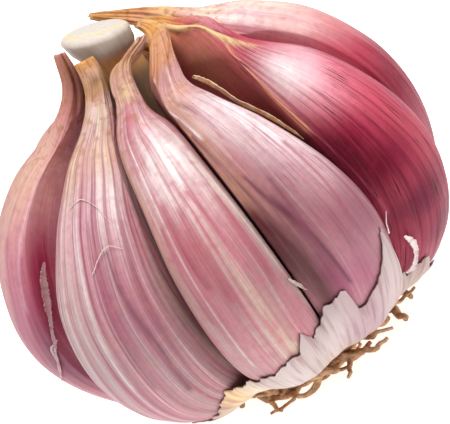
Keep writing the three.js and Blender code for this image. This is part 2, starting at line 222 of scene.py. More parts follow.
# Distance from the axis and height, from the foot to the tip.
BACK = [
    (9.0, 5.2),
    (14.5, 4.2),
    (20.5, 6.0),
    (25.6, 11.5),
    (27.9, 19.0),
    (26.6, 27.0),
    (22.0, 34.5),
    (16.6, 39.3),
    (11.6, 42.4),
    (8.2, 44.8),
    (6.6, 47.6),
]
INNER_EDGE = [
    (6.4, 6.2),
    (5.8, 7.5),
    (5.3, 10.0),
    (5.1, 14.0),
    (5.0, 19.0),
    (5.0, 24.5),
    (5.0, 30.0),
    (5.1, 35.0),
    (5.3, 39.5),
    (5.5, 43.5),
    (5.6, 47.4),
]
HALF_WIDTH = [1.6, 4.2, 6.0, 6.9, 7.1, 6.7, 5.4, 4.0, 2.1, 1.4, 1.15]
STATIONS = len(BACK) - 1
CAP_DEPTH = 0.9  # depth of the rounded back, in half widths
FLANK_BEND = 0.75
FLANK_REACH = 0.9
NECK_STATIONS = 2  # so many stations at the tip carry the inner edge along with the back
NECK_FOLLOWS = 0.9
NECK_TWIST = 22
TWIST_FROM, TWIST_TO = 40.0, 48.0
WALLS_FADE, WALLS_END = 42.0, 44.0  # the walls give way between these heights
print("a clove's back reaches", max(radius for radius, height in BACK), "mm from the axis")

# %% [markdown]
# ### The eleven cloves
# No two cloves are alike, so each says what sets it apart from the common shape: its azimuth, the azimuth of
# the wall before it, how far it reaches out, and its width to the left and right, as seen from outside.
# Azimuth 0 faces the camera's side and grows to the right. The lists add millimetres (or, for drift, degrees)
# to the stations.

# %% The eleven cloves
BROKEN_NECK = [0, 0, 0, 0, 0, 0, 0, 0, -0.7, -2.4, -4.8]
CLOVES = {
    "clove_01": dict(
        azimuth=-83, wall=-98, reach=1.03, left=1.1, right=1.1,
        out=[0, -0.1, -0.9, -0.8, -0.1, 0.9, 2.0, 2.0, 0.5, 0, -0.3],
        up=[0, 0, 0.5, 0.8, 0.3, 0, 0.3, 0.3, 0, 0.6, 2.6],
        wider_left=[0, 0, 0, 0, 0, 0.8, 1.6, 1.8, 1.1, 0, -0.9],
        wider_right=[0, 0, 0, 0, 0.4, 0.9, 1.3, 1.4, 0.8, 0, -0.5],
    ),
    "clove_02": dict(
        azimuth=-46, wall=-69, reach=1.02, left=1.22, right=1.0,
        wider_left=[0, 1, 1.6, 2.0, 2.0, 1.1, -0.3, -0.8, -0.4, -0.1, 0],
        wider_right=[0, 0, 0, 0, 0, 0.3, 0.6, 0.8, 0.8, 0.3, 0],
        drift=[-5, -5, -4, -2, 0, 0, 1, 2, 2, -3, -8],
        up=[0, 0, 0, 0, 0, 0, 0, 0, 0, 0, 0.8],
    ),
    "clove_03": dict(
        azimuth=-9, wall=-26, reach=1.0, left=1.0, right=1.0,
        wider_left=[0, -0.6, -0.8, -0.7, -0.9, -0.9, -0.6, -0.1, 0, 0, 0.5],
        wider_right=[0, 0, 0, -0.5, -0.9, -1.0, -0.9, -0.7, -0.6, -0.1, 0.1],
        up=[0, 0, 0, 0, 0, 0, 0, 0, 0, 1.1, -0.8],
        out=[0, 0, 0, 0, 0, 0, 0, 0, 0, -0.3, -0.3],
        drift=[0, 0, 0, 0, 0, 0, 0, -1, -4, -10, 22],
        droop=[0, 0, 0, 0, 0, 0, 0, 0, 0, 0.5, 1.8],
    ),
    "clove_04": dict(
        azimuth=20, wall=4.6, reach=1.0, left=0.95, right=1.0,
        wider_left=[0, 0, 0, 0.2, 0.7, 1.1, 1.4, 1.3, 1.4, 0.8, 0],
        wider_right=[0, 0, 0, 0, -0.2, -0.9, -1.7, -2.3, -1.0, -0.6, -0.3],
        drift=[0, 0, 0, 0, 0, 0, 0, 0, 0, 14, 56],
        up=[0, 0, 0, 0, 0, 0, 0, -0.2, -0.2, 0.5, -0.9],
        out=[0, 0, 0, 0, 0, 0, 0, 0, 0, -0.3, -1.9],
    ),
    "clove_05": dict(
        azimuth=53, wall=35, reach=1.025, left=1.15, right=1.18,
        out=[0, 0, 0.3, 0.4, 0.1, -0.5, -0.5, -0.2, 0.4, 0, -1.2],
        up=[0, 0, 0, 0, 0, 0, 0.2, 0.9, 1.4, 0.5, -1.5],
        drift=[0, 0, 0, 0, 0, 0, 0, -1, 2, 9, 48],
        wider_left=[0, 0, 0, -0.4, -1.3, -2.3, -2.6, -2.8, -1.4, -0.7, -0.4],
        wider_right=[0, 0, 0, 0, 0, 0.2, 0.3, -2.6, -1.7, -0.9, -0.4],
        hollow_left=[0, 0, 0, 0, 0.3, 0.9, 1.5, 1.6, 1.2, 0.5, 0],
    ),
    "clove_06": dict(
        azimuth=89, wall=74, reach=0.975, left=1.1, right=1.1,
        out=[0, 0, 0, 0, 0.2, 0.7, 1.1, 0.8, 0.3, 0.8, -0.3],
        up=[0, 0, 0, 0, 0.3, 1.0, 1.4, 1.5, 1.1, 1.3, 1.9],
        drift=[0, 0, 0, 0, 0, 0, 0, 2, 8, 26, 66],
        wider_left=[0, 0, 0, 0, 0, 0, 0, 0, 0, -0.1, -1.0],
        wider_right=[0, 0, 0, 0, 0, 0, 0, 0, 0, -0.1, -1.0],
    ),
    "clove_07": dict(azimuth=121, wall=105, reach=0.96, left=1.05, right=1.0, up=BROKEN_NECK),
    "clove_08": dict(azimuth=153, wall=137, reach=1.0, left=1.0, right=1.1, up=BROKEN_NECK),
    "clove_09": dict(azimuth=185, wall=170, reach=1.02, left=1.1, right=1.0, up=BROKEN_NECK),
    "clove_10": dict(azimuth=216, wall=201, reach=0.97, left=1.0, right=1.0, up=BROKEN_NECK),
    "clove_11": dict(azimuth=246, wall=231, reach=0.97, left=1.05, right=1.1, up=BROKEN_NECK),
}
print("cloves:", len(CLOVES))

# %% [markdown]
# ### Curves, directions and ripples
# A curve through the stations is a Catmull-Rom spline: it passes through every point, so each number in the
# lists stays a size that can be measured on the clove.
#
# The dry skin shrinks on to the flesh in fine lengthwise ribs, with shallow dents and, at the neck, deep
# folds. These are small waves added along the surface's normal. Each wave is a sine whose phase is drawn from
# a seeded generator, so every clove differs and every run is the same.

# %% Curves, directions and ripples
def curve_through(points, count):
    """Points spaced evenly along a Catmull-Rom spline through the given ones, as an array."""
    points = np.array(points, float).reshape(len(points), -1)
    points = np.vstack([2 * points[0] - points[1], points, 2 * points[-1] - points[-2]])
    place = np.linspace(0, len(points) - 3, count)
    index = np.minimum(place.astype(int), len(points) - 4)
    u = (place - index)[:, None]
    before, start, end, after = (points[index + k] for k in range(4))
    return 0.5 * (
        2 * start
        + (end - before) * u
        + (2 * before - 5 * start + 4 * end - after) * u**2
        + (3 * start - before - 3 * end + after) * u**3
    )


def smooth(t):
    """0 up to 0, 1 from 1 on, and a soft step between them."""
    t = np.clip(t, 0, 1)
    return t * t * (3 - 2 * t)


def outwards(azimuth):
    """The level direction away from the axis at an azimuth in degrees, as x and y."""
    return np.stack([np.sin(azimuth * DEGREE), -np.cos(azimuth * DEGREE)], -1)


def sideways(azimuth):
    """The level direction to the right of outwards, as seen from outside."""
    return np.stack([np.cos(azimuth * DEGREE), np.sin(azimuth * DEGREE)], -1)


def ripple(across, along, generator, waves, pitch, length):
    """A sum of sines: pitch is the wave's width across in degrees, length its length in stations."""
    total = np.zeros(np.broadcast(across, along).shape)
    for _ in range(waves):
        width = pitch * generator.uniform(0.7, 1.5)
        slant = generator.uniform(-1, 1) / length
        phase = generator.uniform(0, 2 * math.pi)
        swell = 0.5 + 0.5 * np.sin(2 * math.pi * (along / length * 0.5 + generator.uniform(0, 1)))
        total += swell * np.sin(2 * math.pi * (across / width + along * slant) + phase)
    return total / math.sqrt(waves)


print("a curve through the back:", curve_through(BACK, 5).round(1).tolist())

# %% [markdown]
# ### Rings round a clove
# Around a ring the half towards the outside gets three quarters of the points, because that is where the ribs
# are seen. Every point knows its turn, from -180 to 180 degrees with 0 in the middle of the back, and its
# station. Later both go into a UV map, so that patterns can run lengthwise on the skin.

# %% Rings round a clove
RINGS = 140
BACK_SIDES = 120
FLANK_SIDES = 44


def ring_angles():
    back = np.linspace(0, math.pi, BACK_SIDES, endpoint=False)
    flank = np.linspace(math.pi, 2 * math.pi, FLANK_SIDES, endpoint=False)
    return np.concatenate([back, flank])


def clove_profile(clove):
    """The back and the inner edge as radius and height, and the widths and azimuth, at every ring."""

    def stations(name):
        return np.array(clove.get(name, [0] * len(BACK)), float)

    back = np.array(BACK)
    back[:, 0] = back[:, 0] * clove["reach"] + stations("out")
    back[:, 1] += stations("up")
    edge = np.array(INNER_EDGE)
    edge[-NECK_STATIONS:, 0] += NECK_FOLLOWS * stations("out")[-NECK_STATIONS:]
    edge[-NECK_STATIONS:, 1] += NECK_FOLLOWS * stations("up")[-NECK_STATIONS:]
    edge[:, 1] -= stations("droop")
    left = np.array(HALF_WIDTH) * clove["left"] + stations("wider_left")
    right = np.array(HALF_WIDTH) * clove["right"] + stations("wider_right")
    azimuth = clove["azimuth"] + stations("drift")
    hollow = stations("hollow_left")
    return [curve_through(values, RINGS) for values in (back, edge, left, right, azimuth, hollow)]


def section_grid(clove):
    """The smooth clove before its relief: points, turns and stations on a grid of rings."""
    back, edge, left, right, azimuth, hollow = clove_profile(clove)
    angle = ring_angles()[None, :]
    cosine, sine = np.cos(angle), np.sin(angle)
    inwards = edge - back
    depth = np.linalg.norm(inwards, axis=1)[:, None]
    inwards = inwards / depth
    cap = np.minimum(CAP_DEPTH * (left + right) / 2, depth / 2)
    width = np.where(cosine < 0, left, right)
    bend = np.where(cosine < 0, FLANK_BEND + hollow, FLANK_BEND)
    flank = np.sign(cosine) * (1 - np.abs(sine)) ** bend
    across = width * np.where(sine >= 0, cosine, flank)
    inward = np.where(sine >= 0, cap * (1 - sine), cap + (depth - cap) * np.abs(sine) ** FLANK_REACH)
    radius = back[:, :1] + inwards[:, :1] * inward
    height = back[:, 1:] + inwards[:, 1:] * inward
    level = outwards(azimuth) * radius[..., None] + sideways(azimuth) * across[..., None]
    turn = (90 - angle / DEGREE + 180) % 360 - 180
    station = np.linspace(0, STATIONS, RINGS)[:, None]
    points = np.concatenate([level, height[..., None]], -1)
    return points, np.broadcast_to(turn, height.shape), np.broadcast_to(station, height.shape)


def grid_normals(points):
    """The surface's outward direction at every point of a grid of rings."""
    along = np.gradient(points, axis=0)
    around = np.roll(points, -1, axis=1) - np.roll(points, 1, axis=1)
    normal = np.cross(along, around)
    normal /= np.maximum(np.linalg.norm(normal, axis=-1, keepdims=True), 1e-9)
    centre = points.mean(axis=1, keepdims=True)
    outward = np.sign(((points - centre) * normal).sum())
    return normal * outward


print("points round a clove:", len(ring_angles()))

# %% [markdown]
# ### Relief, neighbours and the wound neck
# On a real bulb the cloves press one another flat where they meet, and the dry necks wind round the stem. So
# after its relief each clove is pushed back behind the walls between it and its neighbours, up to the height
# where the necks overlap, and the neck is turned about the axis.

# %% Relief, neighbours and the wound neck
RIB_HEIGHT = 0.05
DENT_DEPTH = 0.12
FOLD_DEPTH = 0.24
DRY_FROM, DRY_TO = 7.9, 9.2  # stations between which the fleshy skin gives way to the dry neck
FLESHY_FROM = 1.2  # the relief grows to its full height over these stations at the foot
RELIEF_EDGE, RELIEF_FADE = 105, 30  # degrees of turn at which the ribs end, and over which they fade
STATION_WIDTH = 60  # a station is about as long as this many degrees of turn are wide


def near_spot(turn, station, at_turn, at_station, wide, long):
    """1 on a spot, fading to 0 away from it."""
    around = (turn - at_turn + 180) % 360 - 180
    return np.exp(-((around / wide) ** 2) - ((station - at_station) / long) ** 2)


def near_line(turn, station, wide, points):
    """1 on a line through (turn, station) points, fading to 0 away from it."""
    place = np.stack([turn, station * STATION_WIDTH], -1)
    line = np.array(points, float) * (1, STATION_WIDTH)
    nearest = np.full(turn.shape, np.inf)
    for start, end in zip(line, line[1:]):
        run = end - start
        along = np.clip((place - start) @ run / (run @ run), 0, 1)
        nearest = np.minimum(nearest, np.linalg.norm(place - start - along[..., None] * run, axis=-1))
    return np.exp(-((nearest / wide) ** 2))


def wobble(place, length, generator):
    """A sine of a length, whose phase is drawn at random."""
    return np.sin(2 * math.pi * (place / length + generator.uniform()))


def relief(turn, station, generator, rib_width):
    """How far the dry skin stands off the smooth clove, in millimetres, and the turn with its wobble."""
    across = turn + (1.0 * wobble(station, 6.5, generator) + 0.4 * wobble(station, 2.9, generator))
    across += 2.4 * wobble(turn, 53, generator)
    across += 1.2 * wobble(turn, 19, generator)
    on_back = smooth((RELIEF_EDGE - np.abs(turn)) / RELIEF_FADE)
    dry = smooth((station - DRY_FROM) / (DRY_TO - DRY_FROM))
    fleshy = smooth(station / FLESHY_FROM) * (1 - dry)
    ribs = 1 - 2 * np.abs(np.sin(math.pi * across / rib_width)) ** 0.6
    ribs *= 0.6 + 0.4 * wobble(across, 47, generator)
    dents = ripple(turn, station, generator, 4, 70, 3.2)
    folds = ripple(turn, station, generator, 5, 46, 4.0)
    folds += 0.45 * ripple(turn, station, generator, 4, 19, 3.0)
    height = on_back * fleshy * RIB_HEIGHT * ribs
    return height + DENT_DEPTH * dents * fleshy + FOLD_DEPTH * folds * dry, across


def keep_behind_wall(points, azimuth, side):
    """Pushes points back that are past the upright wall through the axis at an azimuth."""
    across = sideways(np.array(float(azimuth)))
    distance = side * (points[..., :2] @ across) - CLEARANCE
    hold = 1 - smooth((points[..., 2] - WALLS_FADE) / (WALLS_END - WALLS_FADE))
    push = hold * np.where(distance < 0, -side * distance, 0)
    points[..., :2] += push[..., None] * across


def wind_round_stem(points):
    """Turns the neck about the axis, more and more with height."""
    turn = smooth((points[..., 2] - TWIST_FROM) / (TWIST_TO - TWIST_FROM)) * NECK_TWIST * DEGREE
    x, y = points[..., 0].copy(), points[..., 1].copy()
    points[..., 0] = x * np.cos(turn) - y * np.sin(turn)
    points[..., 1] = x * np.sin(turn) + y * np.cos(turn)


def clove_points(name, next_wall):
    """A clove's finished grid of points, with the wobbling turn and the station of each."""
    clove = CLOVES[name]
    generator = np.random.default_rng(int(name[-2:]))
    points, turn, station = section_grid(clove)
    height, across = relief(turn, station, generator, STYLES[SKINS[name]["style"]]["ribs"][0])
    for high, wide, *line in SKINS[name]["creases"]:
        height = height + high * near_line(turn, station, wide, line)
    points = points + grid_normals(points) * height[..., None]
    keep_behind_wall(points, clove["wall"], 1)
    keep_behind_wall(points, next_wall, -1)
    wind_round_stem(points)
    return points, across, station


print("ribs", RIB_HEIGHT, "mm high, folds at the neck", FOLD_DEPTH, "mm deep")

# %% [markdown]
# ### From a grid to a mesh
# Each piece that is a stack of rings becomes a mesh in the same way: a quad for every step along and around,
# and a fan of triangles to a point at either end, so that it is closed. A mesh may come out inside out, which
# its signed volume tells.

# %% From a grid to a mesh
def grid_mesh(name, points, u, v):
    """A closed, smooth mesh from a grid of points in millimetres, with u and v as its UV map."""
    rings, sides = points.shape[:2]
    ends = [points[0].mean(axis=0), points[-1].mean(axis=0)]
    vertices = np.vstack([points.reshape(-1, 3), ends]) * MM
    index = np.arange(rings * sides).reshape(rings, sides)
    following = np.roll(index, -1, axis=1)
    quads = np.stack([index[:-1], following[:-1], following[1:], index[1:]], -1).reshape(-1, 4)
    foot, tip = rings * sides, rings * sides + 1
    fans = [(foot, b, a) for a, b in zip(index[0], following[0])]
    fans += [(tip, a, b) for a, b in zip(index[-1], following[-1])]
    mesh = bpy.data.meshes.new(name)
    mesh.from_pydata(vertices.tolist(), [], quads.tolist() + fans)
    mesh.shade_smooth()
    map_skin(mesh, np.append(u.ravel(), [0, 0]), np.append(v.ravel(), [v.min(), v.max()]))
    face_outwards(mesh)
    return mesh


def map_skin(mesh, u, v):
    """Gives a mesh its UV map from a u and v for every vertex."""
    corners = np.empty(len(mesh.loops), int)
    mesh.loops.foreach_get("vertex_index", corners)
    layer = mesh.uv_layers.new(name="Skin")
    layer.data.foreach_set("uv", np.stack([u[corners], v[corners]], -1).ravel())


def face_outwards(mesh):
    """Turns a closed mesh the right way out."""
    edited = bmesh.new()
    edited.from_mesh(mesh)
    if edited.calc_volume(signed=True) < 0:
        bmesh.ops.reverse_faces(edited, faces=edited.faces)
    edited.to_mesh(mesh)
    edited.free()


def finish_piece(mesh, node):
    """Puts a finished mesh in the scene as a piece on the bulb's body, in place of a solid."""
    piece = bpy.data.objects.new(mesh.name, mesh)
    bpy.context.scene.collection.objects.link(piece)
    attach(piece, BODY)
    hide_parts(node)


print("a clove will have about", 2 * RINGS * (BACK_SIDES + FLANK_SIDES), "triangles")

# %% [markdown]
# ## The colours of the skins
# A purple-striped garlic's clove skin is a thin dry leaf. Its colour runs from tan at the neck through cream
# and blush pink to mauve or crimson, in soft regions that no noise texture would place. So the regions are
# painted on the surface. Part of the paint is painted light and shade: the pale shoulders are partly a painted
# highlight, the dark flanks and some creases are partly painted shade, and the skin is painted darker towards
# the foot. A dab is a soft spot and a stroke is a soft line, such as the golden rolled edge of a skin. They
# are laid one over the other into a colour attribute of the mesh, whose alpha says how shiny the skin is
# there. A crease is a line too, but it moves the surface.
#
# What repeats, the stripes and fibres, comes later from the shader.

# %% Painting dabs and strokes of colour
# Painted shade: below this station the skin is painted darker, where less light reaches the foot.
FOOT_SHADE_FROM, FOOT_SHADE_OVER = 6, 2  # the station below which the foot's shade starts, and its length


def cover_with(colour, hex_colour, cover):
    """Lays a colour over others, as far as the cover says at each vertex."""
    colour += (np.array(linear(hex_colour)) - colour) * cover[:, None]


def store_tone(mesh, colour):
    attribute = mesh.color_attributes.new("Tone", "FLOAT_COLOR", "POINT")
    attribute.data.foreach_set("color", colour.astype(np.float32).ravel())


def paint(mesh, skin, turn, station):
    """Lays a skin's dabs and strokes over its base colour, into the mesh's colour attribute."""
    colour = np.tile(linear(skin["base"]), (len(turn), 1))
    for hex_colour, *place, strength in skin.get("dabs", []):
        cover_with(colour, hex_colour, strength * near_spot(turn, station, *place))
    for hex_colour, wide, strength, *points in skin.get("strokes", []):
        cover_with(colour, hex_colour, strength * near_line(turn, station, wide, points))
    # Painted shade: the colour is darkened towards the foot, which the light from above reaches less.
    colour *= 1 - skin.get("painted_foot_shade", 0) * smooth((FOOT_SHADE_FROM - station[:, None]) / FOOT_SHADE_OVER)
    colour[:, 3] = 0
    for *place, strength in skin.get("shiny", []):
        colour[:, 3] += strength * near_spot(turn, station, *place)
    store_tone(mesh, colour)


# What each skin below holds:
# dabs: colour, turn, station, width in degrees, length in stations, strength.
# strokes: colour, width in degrees, strength, then the line's points as turn and station.
# creases: height in millimetres, width in degrees, then the points.
# shiny: turn, station, width, length, strength. Damp or rubbed skin is glossier.
# foot shade: a painted shade, how much darker and duller the skin is painted towards the foot, where
# less light reaches it.
SKINS = {}
print("a dab's colour halfway out:", round(float(near_spot(0.5, 0, 0, 0, 1, 1)), 2))

# %% [markdown]
# ### The first skin: plain rose
# Dusty rose, with a tan shoulder and neck, and a dark crimson patch low on the right, where the skin was
# rubbed and torn.

# %% The first skin: plain rose
SKINS["clove_01"] = dict(
    style="plain",
    base="#D8949C",
    painted_foot_shade=0.15,
    dabs=[
        ("#D2AE9A", -40, 7.2, 60, 1.7, 0.92),
        ("#DDB49C", 24, 7.3, 40, 1.0, 0.85),
        ("#DD988E", 64, 7.7, 22, 0.8, 0.85),
        ("#DCB4A8", 6, 5.9, 14, 0.9, 0.7),
        ("#DC849E", -40, 4.4, 40, 0.9, 0.75),
        ("#CF7E96", 34, 5.3, 16, 1.0, 0.8),
        ("#B43462", 42, 4.5, 20, 0.8, 0.85),
        ("#9C2148", 74, 5.7, 22, 0.8, 1.0),
        ("#98063E", 62, 5.1, 20, 1.0, 1.0),
        ("#883A52", 42, 3.9, 34, 1.0, 0.9),
        ("#7E3450", 46, 4.3, 14, 0.7, 0.9),
        ("#D89890", 78, 6.9, 14, 0.5, 0.8),
        ("#CC7C70", 40, 8.7, 70, 0.3, 0.7),
        ("#B87C64", 0, 9.6, 400, 0.8, 0.95),
        ("#74382A", 70, 9.4, 40, 0.6, 0.9),
    ],
    strokes=[
        ("#F0C4CC", 4, 0.5, (50, 7.4), (44, 6.4), (34, 5.2)),
        ("#B8607E", 3, 0.6, (22, 6.2), (18, 5.2), (12, 4.4)),
        ("#A24468", 3, 0.6, (44, 5.9), (34, 5.0), (22, 4.2)),
    ],
    creases=[(0.10, 6, (60, 5.7), (48, 4.8), (32, 4.0))],
)
print("marks on clove 1:", len(SKINS["clove_01"]["dabs"]) + len(SKINS["clove_01"]["strokes"]))

# %% [markdown]
# ### The second skin: pale and ribbed
# Pale, with strong ribs and dark furrows between them, a near-white shoulder on the right, and a cream neck
# that dries to gold.

# %% The second skin: pale and ribbed
SKINS["clove_02"] = dict(
    style="ribbed",
    base="#D5B1B1",
    painted_foot_shade=0.34,
    dabs=[
        ("#E6D0CA", -44, 4.8, 26, 2.0, 0.7),
        ("#DDB0B6", -10, 6.1, 36, 0.5, 0.6),
        ("#FCECEC", 60, 6.5, 32, 0.75, 1.0),
        ("#E4798C", 78, 5.9, 6, 0.6, 0.7),
        ("#A86A7C", 34, 5.1, 18, 0.8, 0.8),
        ("#BC848E", 8, 5.0, 14, 0.8, 0.5),
        ("#B8667C", 54, 4.6, 18, 0.9, 0.8),
        ("#C79AA0", 5, 3.4, 60, 0.8, 0.6),
        ("#A87A7C", 66, 3.0, 24, 0.8, 0.6),
        # Brown on the right flank, partly the skin's own colour and partly painted shade of the groove.
        ("#9E6E60", 96, 4.4, 16, 2.0, 0.95),
        ("#A87862", 106, 6.8, 10, 1.2, 0.9),
        ("#E0BA94", -40, 7.1, 30, 0.5, 0.8),
        ("#E2C29C", 10, 7.35, 60, 0.45, 0.9),
        ("#D2AC84", 66, 7.3, 18, 0.5, 0.85),
        ("#E6DAC2", 24, 8.2, 44, 0.5, 0.95),
        ("#D4B284", -40, 8.4, 24, 0.8, 0.8),
        ("#C9A066", 0, 9.2, 400, 0.42, 0.95),
        ("#E2A24E", 0, 10.0, 400, 0.35, 1.0),
        # A painted shadow: a dark olive-brown spot under the tip.
        ("#7C6444", 24, 9.35, 24, 0.12, 0.8),
    ],
    strokes=[
        ("#F6EDEC", 4, 0.6, (-2, 6.8), (4, 5.4), (2, 3.8)),
        ("#A2506A", 2.2, 0.7, (24, 6.2), (27, 5.2), (24, 3.6)),
        ("#E88A9C", 2.2, 0.6, (76, 6.4), (80, 5.9), (80, 5.4)),
        ("#98646E", 2.5, 0.5, (62, 6.0), (60, 4.6), (52, 3.0)),
        ("#7A4656", 1.8, 0.8, (38, 5.7), (42, 5.0), (44, 4.2), (42, 3.2)),
        ("#C08E5C", 8, 0.5, (30, 8.9), (40, 8.2), (52, 7.7)),
    ],
    creases=[(-0.10, 10, (10, 9.4), (20, 8.6), (30, 7.9)), (0.14, 12, (45, 9.6), (50, 8.8), (60, 8.0))],
)
print("marks on clove 2:", len(SKINS["clove_02"]["dabs"]) + len(SKINS["clove_02"]["strokes"]))

# %% [markdown]
# ### The third skin: mauve bands
# Broad mauve bands on cream under a white shoulder, which is partly a painted highlight, with brown flanks
# down in the grooves that are partly painted shade.

# %% The third skin: mauve bands
SKINS["clove_03"] = dict(
    style="banded",
    base="#CD9EA0",
    painted_foot_shade=0.28,
    dabs=[
        # The white shoulder, partly a painted highlight where the light above falls.
        ("#FCF2F0", 16, 6.45, 46, 0.85, 1.0),
        ("#D6B49E", -62, 6.4, 15, 1.2, 0.9),
        ("#D0AC9C", -62, 4.8, 12, 1.2, 0.7),
        ("#BC6670", -18, 5.2, 34, 0.5, 0.75),
        ("#BC6470", 44, 5.0, 13, 0.6, 0.8),
        ("#D9B6AE", 14, 5.2, 6, 0.8, 0.7),
        ("#A85666", 42, 4.3, 12, 0.6, 0.75),
        ("#B4626E", -4, 4.5, 14, 0.4, 0.7),
        ("#B27482", -32, 4.2, 16, 0.5, 0.7),
        ("#E2CDB6", 16, 4.2, 7, 0.7, 0.9),
        ("#E0C8AE", 12, 3.5, 14, 0.6, 0.9),
        ("#D8B4B4", -58, 3.5, 16, 0.8, 0.7),
        ("#BC5E70", 34, 3.5, 9, 0.4, 0.7),
        ("#EFE0D6", 63, 5.3, 10, 1.6, 0.9),
        # The flanks: brown, and darkened in the grooves as painted shade.
        ("#8A4C3E", -90, 6.4, 14, 1.6, 0.95),
        ("#55241F", -96, 4.4, 20, 1.6, 0.95),
        ("#7A3E3C", 100, 5.0, 22, 3.0, 0.95),
        ("#DE5E82", -16, 7.75, 8, 0.25, 0.9),
        ("#CF7A8C", -28, 7.5, 8, 0.5, 0.7),
        ("#F4C4CC", 15, 7.5, 18, 0.35, 0.7),
        ("#DCBC92", -10, 8.35, 70, 0.28, 0.95),
        ("#C09262", 0, 9.2, 400, 0.55, 0.95),
        ("#DDB886", -20, 10.0, 60, 0.4, 0.8),
    ],
    strokes=[
        ("#F8EEEA", 1.8, 0.7, (-26, 7.8), (-30, 6.6), (-34, 4.8), (-32, 3.2)),
        ("#F0DED6", 1.6, 0.5, (2, 7.0), (2, 5.6), (0, 4.0), (0, 2.9)),
        ("#98485E", 1.8, 0.6, (-22, 7.6), (-26, 6.4), (-29, 5.0)),
        ("#C4506A", 2.2, 0.6, (18, 5.9), (26, 5.3), (30, 4.6)),
        ("#A44858", 4.5, 0.7, (-22, 5.9), (-24, 5.3), (-22, 4.7)),
        ("#AC4E5C", 3.5, 0.6, (-8, 5.7), (-10, 5.2), (-10, 4.4)),
        ("#A44A5A", 3.0, 0.6, (-40, 5.6), (-44, 4.9), (-42, 4.2)),
        ("#A84C5C", 4.0, 0.6, (48, 5.6), (48, 5.0), (44, 4.3)),
        ("#C8506C", 2.2, 0.6, (4, 6.1), (10, 5.6), (10, 5.0)),
        ("#A04C68", 1.8, 0.5, (20, 6.0), (24, 4.8), (20, 3.3)),
        ("#B8345A", 2.2, 0.6, (-4, 8.1), (2, 7.5), (8, 7.0)),
    ],
    creases=[(0.06, 3.5, (-26, 7.8), (-30, 6.6), (-34, 4.8), (-32, 3.2))],
)
print("marks on clove 3:", len(SKINS["clove_03"]["dabs"]) + len(SKINS["clove_03"]["strokes"]))

# %% [markdown]
# ### The fourth skin: flecked
# White at the shoulder, partly as a painted highlight, and flecked with mauve below it, and darkest on the
# left flank, where the groove's shade is painted in. At the neck the old skin has dried in deep folds with
# rolled, pale edges.

